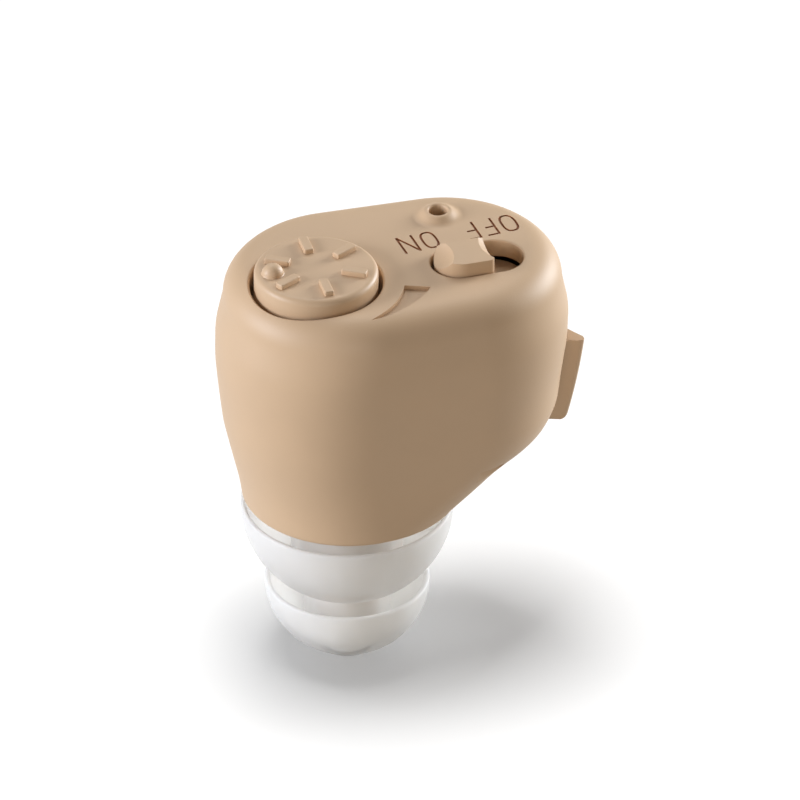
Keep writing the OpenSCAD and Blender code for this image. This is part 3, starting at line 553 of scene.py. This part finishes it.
def sides_of(triangles):
    """Every side of the triangles, in the order of its corners."""
    return {(t[i], t[(i + 1) % 3]) for t in triangles for i in range(3)}


def sunk_faces(feature, dropped, rim, points):
    """The walls and the floor of a feature that lies at one depth under the surface."""
    low = {}
    for a in {a for t in dropped for a in t}:
        low[a] = len(points)
        points.append((points[a][0], points[a][1], points[a][2] - feature["sunk"]))
    return [(b, a, low[a], low[b]) for a, b in rim] + [tuple(low[a] for a in t) for t in dropped]


def stepped_faces(feature, rim, points):
    """The rows of faces down a feature's rounded rim, and its floor."""
    row = {a: a for edge in rim for a in edge}
    base = {a: points[a] for a in row}
    faces = []
    for inward, drop in feature["steps"]:
        below = {}
        for a, (x, y, z) in base.items():
            way = feature["inward"](x, y) * inward
            below[a] = len(points)
            points.append((x + way.x, y + way.y, drop if drop > SHOULDER_Z / 2 else z - drop))
        faces += [(row[b], row[a], below[a], below[b]) for a, b in rim]
        row = below
    after = dict(rim)
    loop = [rim[0][0]]
    while after[loop[-1]] != loop[0]:
        loop.append(after[loop[-1]])
    return faces + [tuple(row[a] for a in reversed(loop))]


def faceplate():
    """The rounded top as points and faces, with its features' rims, walls and floors."""
    plan, edges = drawn(faceplate_loops())
    flat, _, triangles, *_ = delaunay_2d_cdt(plan, edges, [], 0, 1e-5)
    points = [(p.x, p.y, top_z(p.x, p.y)) for p in flat]
    kept, owned = shared_out(flat, triangles)
    faces, parts = list(kept), [0] * len(kept)
    sides = sides_of(kept)
    for feature, dropped in zip(FEATURES, owned):
        rim = [(a, b) for b, a in sides_of(dropped) if (a, b) in sides]
        if "sunk" in feature:
            new = sunk_faces(feature, dropped, rim, points)
        else:
            new = stepped_faces(feature, rim, points)
        faces += new
        parts += [feature.get("part", 0)] * len(new)
    return points, faces, parts


def side_rings(low_steps=5, steps=60):
    """Rings from the neck's rounded lower edge to the shoulder."""
    rings = []
    for i in range(low_steps):
        t = math.pi / 2 * i / low_steps
        lift = FOOT_R * (1 - math.cos(t))
        rings.append([(x, y, NECK_Z + lift) for x, y in section(lift, FOOT_R * (1 - math.sin(t)))])
    for i in range(steps + 1):
        h = FOOT_R + (SHOULDER_H - FOOT_R) * i / steps
        rings.append([(x, y, NECK_Z + h) for x, y in section(h)])
    return rings


def plain_body(name):
    """The body's lower part as a closed solid."""
    return loft(name, side_rings())


def full_body(name):
    """The whole body as a closed solid, with the faceplate's features sunk in it."""
    rings = side_rings()
    points = [p for ring in rings for p in ring]
    faces = wall_faces(len(rings[0]), len(rings))
    parts = [0] * len(faces)
    top_points, top_faces, top_parts = faceplate()
    faces += [tuple(i + len(points) for i in f) for f in top_faces]
    return weld(build(name, points + top_points, faces, parts + top_parts), outward=False)


def cavity(name, steps=40):
    """The body's hollow, one wall inside its surface."""
    rings = []
    high = BODY_H - FACE_T
    for i in range(steps + 1):
        h = WALL + (high - WALL) * i / steps
        edge = 0 if h <= SHOULDER_H else EDGE_R - math.sqrt(EDGE_R ** 2 - (h - SHOULDER_H) ** 2)
        rings.append([(x, y, NECK_Z + h) for x, y in section(h - SLOPE_LIFT, WALL + edge)])
    return loft(name, rings)


def opening_plan(gap):
    """Plan of the door's opening: a rectangle with a round end at the hinge pin."""
    far = LOBE_REACH + 2 * HALF_W
    return ([(PIN.x, SEAM_Y + gap), (far, SEAM_Y + gap), (far, far), (PIN.x, far)]
            + arc(PIN.x, PIN.y, BARREL_R - gap, 90, 270, 48))


def cover_plan(gap):
    """Plan of the underside cover's opening, drawn in by a gap."""
    x1, r1, _, _ = lobes(0)
    return two_lobes(x1, r1 - COVER_INSET - gap, COVER_FAR_X, COVER_FAR_R - gap)


def notch():
    """The pry notch in the sloping underside."""
    c, s = math.cos(NOTCH_TURN), math.sin(NOTCH_TURN)
    _, _, x, r = lobes(NOTCH_RISE)
    near, half = r - NOTCH_D, NOTCH_W / 2
    corners = [(x + u * c - v * s, u * s + v * c)
               for u, v in ((near, -half), (HALF_W, -half), (HALF_W, half), (near, half))]
    return prism("notch", corners, NECK_Z, NECK_Z + NOTCH_RISE)


def inner_solids():
    """What stands in the shell's hollow: the dial's cup, the collar, the posts and the bosses."""
    low_end, high_end = DOOR_Z0 - PIN_SEAT - WALL / 2, DOOR_Z1 + PIN_SEAT + WALL / 2
    return [rod("cup", DIAL, RECESS_R + CUP_WALL, RECESS_Z - CUP_FLOOR, CEILING_Z + OVER, 96),
            rod("collar", PORT, MIC_R + COLLAR_T, CEILING_Z - COLLAR_H, CEILING_Z + OVER),
            *[rod("post", place, POST_R, BOARD_TOP, CEILING_Z + OVER) for place in POSTS],
            rod("low_boss", PIN, PIN_BOSS_R, low_end, DOOR_Z0 + OVER),
            rod("high_boss", PIN, PIN_BOSS_R, DOOR_Z1 - OVER, high_end),
            block("web", PIN.x - PIN_BOSS_R, PIN.x + PIN_BOSS_R, PIN.y, HALF_W, DOOR_Z1 - OVER, high_end)]


def shell_cuts():
    """The holes and openings through the shell."""
    return [rod("shaft_hole", DIAL, SHAFT_HOLE_R, RECESS_Z - CUP_FLOOR - OVER, RECESS_Z + OVER),
            rod("socket", PORT, MIC_R, CEILING_Z - COLLAR_H - OVER, CEILING_Z),
            prism("door_opening", opening_plan(0), DOOR_Z0, DOOR_Z1),
            prism("cover_opening", cover_plan(0), NECK_Z - OVER, COVER_TOP),
            notch(),
            rod("pin_bore", PIN, PIN_R + PIN_FIT, DOOR_Z0 - PIN_SEAT, DOOR_Z1 + PIN_SEAT, 48)]


def make_shell():
    """The main shell: the body, hollowed out, with its seats and openings."""
    shell = full_body("shell_body")
    shell.data.materials.append(moulding)
    shell.data.materials.append(letter_paint)
    hollow = cavity("hollow")
    for solid in inner_solids():
        carve(hollow, solid)
    carve(shell, hollow)
    for tool in shell_cuts():
        carve(shell, tool)
    soften(shell)
    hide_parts("main_shell")
    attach(shell, "shell")


def boot_block(name, grow, low_z, high_z):
    """A block over the receiver's boot, grown on every side of its plan."""
    low, high = [Vector(c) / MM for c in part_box("receiver_boot")]
    return block(name, low.x - grow, high.x + grow, low.y - grow, high.y + grow, low_z, high_z)


def make_cover():
    """The underside cover, with the seat of the receiver's boot."""
    cover = plain_body("cover_plate")
    cover.data.materials.append(moulding)
    carve(cover, prism("plan", cover_plan(COVER_GAP), NECK_Z - OVER, COVER_TOP - COVER_GAP), "INTERSECT")
    carve(cover, cavity("hollow"))
    floor_z = NECK_Z + WALL
    seat_top = floor_z + BOOT_SEAT_H
    carve(cover, boot_block("socket", BOOT_GAP + BOOT_LIP, NECK_Z + WALL / 2, seat_top), "UNION")
    carve(cover, boot_block("seat", BOOT_GAP, floor_z, seat_top + OVER))
    carve(cover, rod("hole", (0, 0), SPIGOT_R, NECK_Z - OVER, floor_z + OVER))
    soften(cover)
    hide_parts("underside_cover")
    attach(cover, "shell")


# The battery door

TAB_PROUD, TAB_T, TAB_L, TAB_STEP, TAB_TURN = 1.25, 0.5, 3.2, 0.3, math.radians(-17)
TAB_ROUND, TAB_INSET, TAB_BULGE, TAB_ROOT = 0.4, 0.02, 0.1, 0.75 * WALL
TAB_ROUND_STEPS, TAB_STEPS, SWEEP_STEPS, SWEEP_X, SWEEP_Y = 6, 12, 18, 0.5 * TAB_PROUD, 2.2 * TAB_T
ROOT_LOW, ROOT_HIGH = 0.28, 0.9


def bend(a, b, c, t):
    """A point on a curve from a to c that leans towards b."""
    return (1 - t) ** 2 * a + 2 * t * (1 - t) * b + t * t * c


def tab_plan():
    """Plan of the nail tab from its root: a flat front, a rounded tip and a hollow sweep back."""
    c, s = math.cos(TAB_TURN), math.sin(TAB_TURN)
    tip = arc(TAB_PROUD - TAB_STEP - TAB_T / 2, TAB_T / 2, TAB_T / 2, -90, 60, 20)
    tip = [(TAB_STEP + x * c - y * s, x * s + y * c) for x, y in tip]
    end = tip[-1]
    sweep = [i / SWEEP_STEPS for i in range(1, SWEEP_STEPS + 1)]
    back = [(bend(end[0], SWEEP_X, -WALL / 2, t), bend(end[1], SWEEP_Y, TAB_L, t)) for t in sweep]
    return [(-TAB_ROOT, 0.0), (TAB_STEP, 0.0)] + tip + back + [(-TAB_ROOT, TAB_L)]


def tab_levels(foot, head):
    """Heights of the tab's rings, close together over its rounded lower corner."""
    turns = [math.pi / 2 * i / TAB_ROUND_STEPS for i in range(TAB_ROUND_STEPS + 1)]
    corner = [foot + TAB_ROUND * (1 - math.cos(t)) for t in turns]
    rise = head - foot - TAB_ROUND
    return corner + [foot + TAB_ROUND + rise * i / TAB_STEPS for i in range(1, TAB_STEPS + 1)]


def make_tab(low, high):
    """The nail tab, rooted in the door's leaf."""
    foot, head = low + TAB_INSET, high - TAB_INSET
    low_x, high_x = end_x(DOOR_Z0 - NECK_Z, SEAM_Y), end_x(DOOR_Z1 - NECK_Z, SEAM_Y)
    root_low, root_high = low_x + ROOT_LOW * (high_x - low_x), low_x + ROOT_HIGH * (high_x - low_x)
    y = SEAM_Y + DOOR_GAP + TAB_INSET
    plan, rings = tab_plan(), []
    for z in tab_levels(foot, head):
        lift = max(0.0, 1 - (z - foot) / TAB_ROUND)
        reach = TAB_PROUD - TAB_ROUND * (1 - math.sqrt(1 - lift * lift))
        t = (z - DOOR_Z0) / (DOOR_Z1 - DOOR_Z0)
        x = root_low + (root_high - root_low) * t + TAB_BULGE * 4 * t * (1 - t)
        rings.append([(x + min(px, reach), y + py, z) for px, py in plan])
    tab = loft("door_tab", rings)
    tab.data.materials.append(moulding)
    return soften(tab)


def cradle(low, high):
    """The part of a ring round the cell that the door holds."""
    wall = rod("ring", CELL, CELL_R + CRADLE_GAP + CRADLE_WALL, low, CELL_Z + CRADLE_SHARE * CELL_H, 144)
    far = 4 * CELL_R
    wedge = [(CELL.x + far * math.cos(math.radians(t)), CELL.y + far * math.sin(math.radians(t)))
             for t in CRADLE_TURNS]
    carve(wall, prism("wedge", [(CELL.x, CELL.y)] + wedge, low - OVER, high + OVER), "INTERSECT")
    carve(wall, prism("plan", opening_plan(DOOR_GAP), low - OVER, high + OVER), "INTERSECT")
    return wall


def make_door():
    """The battery door with its barrel, the cell's pocket and the nail tab."""
    low, high = DOOR_Z0 + DOOR_GAP, DOOR_Z1 - DOOR_GAP
    inner = prism("plan", opening_plan(DOOR_GAP), low, high)
    carve(inner, cavity("hollow"))
    carve(inner, rod("barrel", PIN, HINGE_R, low, high), "UNION")
    carve(inner, cradle(low, high), "UNION")
    carve(inner, rod("tray", CELL, TRAY_R, low, low + CRADLE_T, 120), "UNION")
    door = plain_body("door_leaf")
    door.data.materials.append(moulding)
    carve(door, inner, "INTERSECT")
    tab = make_tab(low, high)
    carve(door, rod("pocket", CELL, CELL_R + CRADLE_GAP, CELL_Z - RUN_GAP / 2, high + OVER, 144))
    carve(door, rod("bore", PIN, PIN_R + RUN_GAP, low - OVER, high + OVER, 48))
    soften(door)
    for piece in (door, tab):
        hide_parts("battery_door")
        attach(piece, "door")


# The volume dial

DIAL_Z, DIAL_TOP = RECESS_Z + 0.1, FACE_Z + DIAL_PROUD
DIAL_EDGE, SKIRT_T, SKIRT_EDGE, ROOF_T, RIM_SUPPORT, CAP_MIDDLE_R = 0.35, 0.7, 0.08, 1, 0.06, 0.4
HUB_R, SHAFT_R, SHAFT_TOP = 1.6, 0.85, 0.45
RIBS, RIB_FIRST, RIB_REACH = 6, 28, 2.2
RIB_L, RIB_W, RIB_H, RIB_SINK, RIB_EDGE, RIB_CORNER = 1.4, 0.52, 0.3, 0.1, 0.07, 0.08
POINTER_R, POINTER_REACH, POINTER_TURN, POINTER_SINK = 0.62, 2.45, math.radians(175), 0.05
FILLET_W, FILLET_TOP_W, FILLET_H, FILLET_D, FILLET_SHARE = 0.06, 0.02, 0.01, 0.02, 0.08


def rounded_block(name, length, width, height, edge, corner, steps=4):
    """A block with upright rounded corners and a rounded top, about the middle of its base."""
    rings = []
    levels = [(0, 0)] + [(height - edge + edge * math.sin(math.pi / 2 * i / steps),
                          edge * (1 - math.cos(math.pi / 2 * i / steps))) for i in range(steps + 1)]
    for z, inset in levels:
        ring = []
        for n, (sx, sy) in enumerate(((1, -1), (1, 1), (-1, 1), (-1, -1))):
            x, y = sx * (length / 2 - inset - corner), sy * (width / 2 - inset - corner)
            ring += arc(x, y, corner, -90 + 90 * n, 90 * n, 5)
        rings.append([(x, y, z) for x, y in ring])
    return loft(name, rings)


def outward_turns(tree, count):
    """Each copy's turn about the vertical axis, so that it points outwards."""
    add, link = tree.nodes.new, tree.links.new
    angle, step, index = add("ShaderNodeMath"), add("ShaderNodeMath"), add("GeometryNodeInputIndex")
    step.operation, angle.operation = "DIVIDE", "MULTIPLY"
    step.inputs[0].default_value = 2 * math.pi
    link(count, step.inputs[1])
    link(index.outputs[0], angle.inputs[0])
    link(step.outputs[0], angle.inputs[1])
    turn = add("ShaderNodeCombineXYZ")
    link(angle.outputs[0], turn.inputs["Z"])
    return turn.outputs[0]


def ring_tree(name, piece, centre, height, mat):
    """The nodes that repeat a piece round a vertical axis, and the identifiers of their inputs."""
    tree = bpy.data.node_groups.new(name, "GeometryNodeTree")
    add, link = tree.nodes.new, tree.links.new
    sizes = {label: tree.interface.new_socket(name=label, in_out="INPUT", socket_type=kind).identifier
             for label, kind in (("Count", "NodeSocketInt"), ("Reach", "NodeSocketFloat"),
                                 ("First turn", "NodeSocketFloat"))}
    tree.interface.new_socket(name="Geometry", in_out="OUTPUT", socket_type="NodeSocketGeometry")
    given, result = add("NodeGroupInput"), add("NodeGroupOutput")
    wheel = add("GeometryNodeMeshCircle")
    link(given.outputs["Count"], wheel.inputs["Vertices"])
    link(given.outputs["Reach"], wheel.inputs["Radius"])
    source = add("GeometryNodeObjectInfo")
    source.inputs["Object"].default_value = piece
    copies = add("GeometryNodeInstanceOnPoints")
    link(wheel.outputs["Mesh"], copies.inputs["Points"])
    link(source.outputs["Geometry"], copies.inputs["Instance"])
    link(outward_turns(tree, given.outputs["Count"]), copies.inputs["Rotation"])
    whole, whole_turn = add("GeometryNodeTransform"), add("ShaderNodeCombineXYZ")
    link(given.outputs["First turn"], whole_turn.inputs["Z"])
    link(copies.outputs["Instances"], whole.inputs["Geometry"])
    link(whole_turn.outputs[0], whole.inputs["Rotation"])
    whole.inputs["Translation"].default_value = (centre[0] * MM, centre[1] * MM, height * MM)
    real, paint = add("GeometryNodeRealizeInstances"), add("GeometryNodeSetMaterial")
    paint.inputs["Material"].default_value = mat
    link(whole.outputs["Geometry"], real.inputs["Geometry"])
    link(real.outputs["Geometry"], paint.inputs["Geometry"])
    link(paint.outputs["Geometry"], result.inputs["Geometry"])
    return tree, sizes


def ring_of(name, piece, count, reach, first, centre, height, mat):
    """Copies of a piece round a vertical axis, each turned to point outwards, as one plain mesh."""
    holder = build(name, [], [])
    made = holder.modifiers.new(name, "NODES")
    made.node_group, sizes = ring_tree(name, piece, centre, height, mat)
    made[sizes["Count"]] = count
    made[sizes["Reach"]] = reach * MM
    made[sizes["First turn"]] = math.radians(first)
    settle(holder)
    bpy.data.objects.remove(piece)
    return holder


def cap_profile(steps=10):
    """Half a section of the dial's cap, with its shaft's socket, hub, skirt and rounded edge."""
    skirt, roof = DIAL_R - SKIRT_T, DIAL_TOP - ROOF_T
    profile = [(0, DIAL_TOP - SHAFT_TOP), (SHAFT_R, DIAL_TOP - SHAFT_TOP), (SHAFT_R, DIAL_Z),
               (HUB_R, DIAL_Z), (HUB_R, roof), (skirt, roof), (skirt, DIAL_Z),
               (DIAL_R - SKIRT_EDGE, DIAL_Z), (DIAL_R, DIAL_Z + SKIRT_EDGE)]
    for i in range(steps + 1):
        t = math.pi / 2 * i / steps
        profile.append((DIAL_R - DIAL_EDGE * (1 - math.cos(t)),
                        DIAL_TOP - DIAL_EDGE + DIAL_EDGE * math.sin(t)))
    flat_r = DIAL_R - DIAL_EDGE - RIM_SUPPORT
    return profile + [(flat_r, DIAL_TOP), (CAP_MIDDLE_R, DIAL_TOP), (0, DIAL_TOP)]


def pointer_profile(steps=16):
    """Half a section of the pointer's dome and the small fillet at its foot."""
    low = DIAL_TOP - FILLET_D
    profile = [(0, low), (POINTER_R + FILLET_W, low), (POINTER_R + FILLET_TOP_W, DIAL_TOP + FILLET_H)]
    mid = DIAL_TOP - POINTER_SINK * POINTER_R
    start = math.asin(POINTER_SINK + FILLET_SHARE)
    for i in range(steps + 1):
        t = start + (math.pi / 2 - start) * i / steps
        profile.append((POINTER_R * math.cos(t) if i < steps else 0, mid + POINTER_R * math.sin(t)))
    return profile


def make_dial():
    """The volume dial: a cap, six ribs and the pointer's dome."""
    cap = lathe("dial_cap", cap_profile(), DIAL, 180)
    cap.data.materials.append(moulding_dial)
    soften(cap, 30)
    rib = rounded_block("rib", RIB_L, RIB_W, RIB_H + RIB_SINK, RIB_EDGE, RIB_CORNER)
    ribs = ring_of("dial_ribs", rib, RIBS, RIB_REACH, RIB_FIRST, DIAL, DIAL_TOP - RIB_SINK, moulding_dial)
    soften(ribs, 50)
    place = DIAL + Vector((math.cos(POINTER_TURN), math.sin(POINTER_TURN))) * POINTER_REACH
    pointer = lathe("dial_pointer", pointer_profile(), place, 64)
    pointer.data.materials.append(moulding_dial)
    soften(pointer, 60)
    for piece in (cap, ribs, pointer):
        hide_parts("volume_dial")
        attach(piece, "dial")


# The ON/OFF slider

KNOB_GAP, KNOB_BACK, KNOB_L, KNOB_PROUD, KNOB_CORNER, KNOB_EDGE = 0.08, 0.2, 3.05, 0.8, 0.3, 0.12
KNOB_X, KNOB_END_R, KNOB_TOP = SLOT.x - SLOT_L / 2 + KNOB_BACK, SLOT_W / 2 - KNOB_GAP, FACE_Z + KNOB_PROUD
KNOB_SLOPE_W, KNOB_SLOPE_LOW = 0.65, 0.05
FLANGE_H, FLANGE_DROP, FLANGE_L, FLANGE_W, FLANGE_LAP = 0.6, 0.35, 5.95, 3.8, 0.65
FLANGE_X, FLANGE_Z = SLOT.x - SLOT_L / 2 - FLANGE_LAP + FLANGE_L / 2, CEILING_Z - FLANGE_DROP - FLANGE_H
SCOOP_R, SCOOP_D, SCOOP_OUT_ON, SCOOP_OUT_OFF = 3.0, 1.07, 1.3, 1.85
TRAVEL, KEY_L, KEY_W, KEY_UP = 1.0, 1.0, 0.8, 0.4


def knob_plan():
    """Plan of the knob: round at the ON end, with small corners at the other one."""
    far, corner = KNOB_X + KNOB_L - KNOB_CORNER, KNOB_END_R - KNOB_CORNER
    return (arc(far, SLOT.y - corner, KNOB_CORNER, -90, 0, 8)
            + arc(far, SLOT.y + corner, KNOB_CORNER, 0, 90, 8)
            + arc(KNOB_X + KNOB_END_R, SLOT.y, KNOB_END_R, 90, 270, 48))


def scoop(x, steps=48):
    """The ball that hollows an end of the knob."""
    z = KNOB_TOP + SCOOP_R - SCOOP_D
    turns = [math.pi * i / steps for i in range(1, steps)]
    side = [(SCOOP_R * math.sin(t), z - SCOOP_R * math.cos(t)) for t in turns]
    return lathe("scoop", [(0, z - SCOOP_R)] + side + [(0, z + SCOOP_R)], (x, SLOT.y), 96)


def back_slope(reach=0.1):
    """The wedge that slopes the knob's back edge."""
    back, low = SLOT.y + KNOB_END_R, FACE_Z + KNOB_SLOPE_LOW
    rise = reach * (KNOB_PROUD - KNOB_SLOPE_LOW) / KNOB_SLOPE_W
    wedge = [(back - KNOB_SLOPE_W - reach, KNOB_TOP + rise), (back + reach, low - rise),
             (back + reach, KNOB_TOP + rise)]
    ends = (KNOB_X - OVER, KNOB_X + KNOB_L + OVER)
    return loft("back_slope", [[(x, y, z) for y, z in wedge] for x in ends])


def make_slider():
    """The ON/OFF slider: a plate under the faceplate and the knob in the slot."""
    flange_top = FLANGE_Z + FLANGE_H
    plate = prism("slider_plate", stadium((FLANGE_X, SLOT.y), FLANGE_L, FLANGE_W, 40), FLANGE_Z, flange_top)
    key_x = SLOT.x - TRAVEL / 2
    carve(plate, block("key", key_x - KEY_L / 2, key_x + KEY_L / 2, SLOT.y - KEY_W / 2, SLOT.y + KEY_W / 2,
                       FLANGE_Z - OVER, FLANGE_Z + KEY_UP))
    knob = prism("slider_knob", knob_plan(), flange_top - RUN_GAP, KNOB_TOP)
    carve(knob, scoop(KNOB_X - SCOOP_OUT_ON))
    carve(knob, scoop(KNOB_X + KNOB_L + SCOOP_OUT_OFF))
    carve(knob, back_slope())
    edge = knob.modifiers.new("edge", "BEVEL")
    edge.width, edge.segments = KNOB_EDGE * MM, 4
    edge.limit_method, edge.angle_limit = "ANGLE", math.radians(25)
    edge.harden_normals = False
    settle(knob)
    for piece in (plate, knob):
        piece.data.materials.clear()
        piece.data.materials.append(moulding)
        soften(piece, 40)
        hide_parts("power_slider")
        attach(piece, "slider")


# The ear tip

UPPER_R, LOWER_R, DOME_H, TIP_WALL = 5.94, 4.6, 5.69, 0.3
UPPER_Z = TIP_H - 0.66
LOWER_Z = UPPER_Z - 5.04
SLEEVE_R, STEM_R, OUTLET_R, OUTLET_L, OUTLET_WALL = 3.05, 2.3, 1.1, 1.45, 0.36
BORE_R, SPOUT_BORE_R, BORE_STEP_Z = 2.5, 1.75, LOWER_Z + 0.55
OUTLET_EDGE_R, OUTLET_EDGE_H, END_R, END_H, END_REACH = 0.06, 0.08, 0.12, 0.02, 0.45
STEM_GROW, FILLET_R, LOWER_THIN, UPPER_THIN = 0.12, 0.1, 1.4 * TIP_WALL, 1.3 * TIP_WALL


def dome(z, rim, height, start, end, steps=40):
    """Points along a dome from one radius to another."""
    a, b = math.asin(start / rim), math.asin(end / rim)
    turns = [a + (b - a) * i / steps for i in range(steps + 1)]
    return [(rim * math.sin(t), z - height * math.cos(t)) for t in turns]


def lip(z, outer, thick, steps=6):
    """The rounded rim between a flange's outer and inner side."""
    r = thick / 2
    return [(outer - r + r * math.cos(math.pi * i / steps), z + r * 0.8 * math.sin(math.pi * i / steps))
            for i in range(1, steps)]


def outlet_profile(end_r):
    """The sound outlet's bore and its rounded end."""
    return [(OUTLET_R, OUTLET_L), (OUTLET_R, OUTLET_EDGE_H), (OUTLET_R + OUTLET_EDGE_R, 0.0), (end_r, 0.0),
            (end_r + END_R, END_H)]


def make_tip():
    """The ear tip: two flanges on a stem, turned in one piece."""
    t, end_r = TIP_WALL, OUTLET_R + OUTLET_WALL
    profile = outlet_profile(end_r) + dome(LOWER_Z, LOWER_R, LOWER_Z, end_r + END_REACH, LOWER_R)
    profile += lip(LOWER_Z, LOWER_R, t)
    profile += dome(LOWER_Z, LOWER_R - t, LOWER_Z - LOWER_THIN, LOWER_R - t, STEM_R + STEM_GROW)
    profile += dome(UPPER_Z, UPPER_R, DOME_H, STEM_R + FILLET_R, UPPER_R)
    profile += lip(UPPER_Z, UPPER_R, t)
    profile += dome(UPPER_Z, UPPER_R - t, DOME_H - UPPER_THIN, UPPER_R - t, SLEEVE_R + FILLET_R)
    profile += [(SLEEVE_R, TIP_H - FILLET_R), (SLEEVE_R - FILLET_R, TIP_H), (BORE_R, TIP_H),
                (BORE_R, BORE_STEP_Z), (SPOUT_BORE_R, BORE_STEP_Z), (SPOUT_BORE_R, OUTLET_L)]
    tip = lathe("silicone_tip", profile, (0, 0), 192)
    tip.data.materials.append(silicone)
    soften(tip, 40)
    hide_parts("ear_tip")
    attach(tip, "tip")


make_shell()
make_cover()
make_door()
make_dial()
make_slider()
make_tip()

# Floor, camera and lamps

FLOOR_REACH, PAPER_RGB, PAPER_GLOW, PAPER_DULL = 900, (248, 248, 248), 0.3, 0.3
AZIMUTH, ELEVATION, DISTANCE = math.radians(-17), math.radians(33.5), 1500.0
PIXELS_PER_MM, FRAME_PX, SENSOR = 18.0, 800, 36.0
TIP_AXIS_U, ORIGIN_V = 347.0, 641.5
MIDDLE = Vector((2.5, 0, 13))


def seen_ray(tree):
    """1 for rays from the camera, a glossy face or through glass, 0 for light that bounces on."""
    ray = tree.nodes.new("ShaderNodeLightPath")
    seen = ray.outputs["Is Camera Ray"]
    for kind in ("Is Glossy Ray", "Is Transmission Ray"):
        either = tree.nodes.new("ShaderNodeMath")
        either.operation = "MAXIMUM"
        tree.links.new(seen, either.inputs[0])
        tree.links.new(ray.outputs[kind], either.inputs[1])
        seen = either.outputs[0]
    return seen


def white_paper():
    """White paper with a glow of its own where it is seen, and dull for the light that it gives back."""
    paper = bpy.data.materials.new("white_paper")
    paper.use_nodes = True
    tree = paper.node_tree
    add, link = tree.nodes.new, tree.links.new
    surface = tree.nodes["Principled BSDF"]
    surface.inputs["Base Color"].default_value = shades(PAPER_RGB)
    surface.inputs["Roughness"].default_value = 0.9
    glow, lift = add("ShaderNodeEmission"), add("ShaderNodeMixShader")
    lift.inputs["Fac"].default_value = PAPER_GLOW
    link(surface.outputs[0], lift.inputs[1])
    link(glow.outputs[0], lift.inputs[2])
    dull, blend = add("ShaderNodeBsdfDiffuse"), add("ShaderNodeMixShader")
    dull.inputs["Color"].default_value = (PAPER_DULL, PAPER_DULL, PAPER_DULL, 1)
    link(seen_ray(tree), blend.inputs["Fac"])
    link(dull.outputs[0], blend.inputs[1])
    link(lift.outputs[0], blend.inputs[2])
    link(blend.outputs[0], tree.nodes["Material Output"].inputs["Surface"])
    return paper


def make_camera():
    """A nearly parallel view from the photograph's angle, at its scale and place."""
    right = Vector((math.cos(AZIMUTH), math.sin(AZIMUTH), 0))
    back = Vector((math.sin(AZIMUTH) * math.cos(ELEVATION), -math.cos(AZIMUTH) * math.cos(ELEVATION),
                   math.sin(ELEVATION)))
    up = back.cross(right)
    across, rise = (FRAME_PX / 2 - TIP_AXIS_U) / PIXELS_PER_MM, (ORIGIN_V - FRAME_PX / 2) / PIXELS_PER_MM
    aim = right * across + up * rise + back * MIDDLE.dot(back)
    lens = bpy.data.cameras.new("camera")
    lens.sensor_width = SENSOR
    lens.lens = SENSOR * DISTANCE * PIXELS_PER_MM / FRAME_PX
    lens.clip_start, lens.clip_end = 0.01, 10
    camera = bpy.data.objects.new("camera", lens)
    bpy.context.scene.collection.objects.link(camera)
    camera.location = (aim + back * DISTANCE) * MM
    camera.rotation_euler = back.to_track_quat("Z", "Y").to_euler()
    return camera


def lamp(name, way, distance, size, power, colour=(1, 1, 1)):
    """A square soft lamp that shines at the middle of the object."""
    data = bpy.data.lights.new(name, "AREA")
    data.size, data.energy, data.color = size * MM, power, colour
    obj = bpy.data.objects.new(name, data)
    bpy.context.scene.collection.objects.link(obj)
    away = Vector(way).normalized()
    obj.location = (MIDDLE + away * distance) * MM
    obj.rotation_euler = away.to_track_quat("Z", "Y").to_euler()
    return obj


corners = ((-1, -1), (1, -1), (1, 1), (-1, 1))
floor = build("floor", [(x * FLOOR_REACH, y * FLOOR_REACH, 0) for x, y in corners], [(0, 1, 2, 3)])
floor.data.materials.append(white_paper())
bpy.context.scene.camera = make_camera()

# The paper has a lamp of its own, which whitens it and casts the object's soft shadow on it
paper_only = bpy.data.collections.new("paper_only")
paper_only.objects.link(floor)
paper_lamp = lamp("paper_lamp", (-0.04, 0.05, 1.0), 300, 130, 1.15)
paper_lamp.light_linking.receiver_collection = paper_only
not_paper = bpy.data.collections.new("not_paper")
not_paper.objects.link(floor)
not_paper.collection_objects[0].light_linking.link_state = "EXCLUDE"
for studio_lamp in (
        lamp("left_lamp", (-1.0, 0.05, 0.3), 420, 200, 1.95, (0.92, 0.97, 1.08)),
        lamp("right_lamp", (1.0, 0.3, 0.25), 420, 180, 2.3, (0.95, 1.0, 1.06)),
        lamp("top_lamp", (0.1, 0.7, 1.0), 460, 260, 0.72),
        lamp("front_lamp", (-0.1, -1.0, 0.2), 520, 300, 0.75, (1.0, 0.9, 0.78))):
    studio_lamp.light_linking.receiver_collection = not_paper

world = bpy.data.worlds.new("studio")
bpy.context.scene.world = world
world.use_nodes = True
world.node_tree.nodes["Background"].inputs["Color"].default_value = (1, 1, 1, 1)
world.node_tree.nodes["Background"].inputs["Strength"].default_value = 0.11
bpy.context.scene.view_settings.view_transform = "Standard"
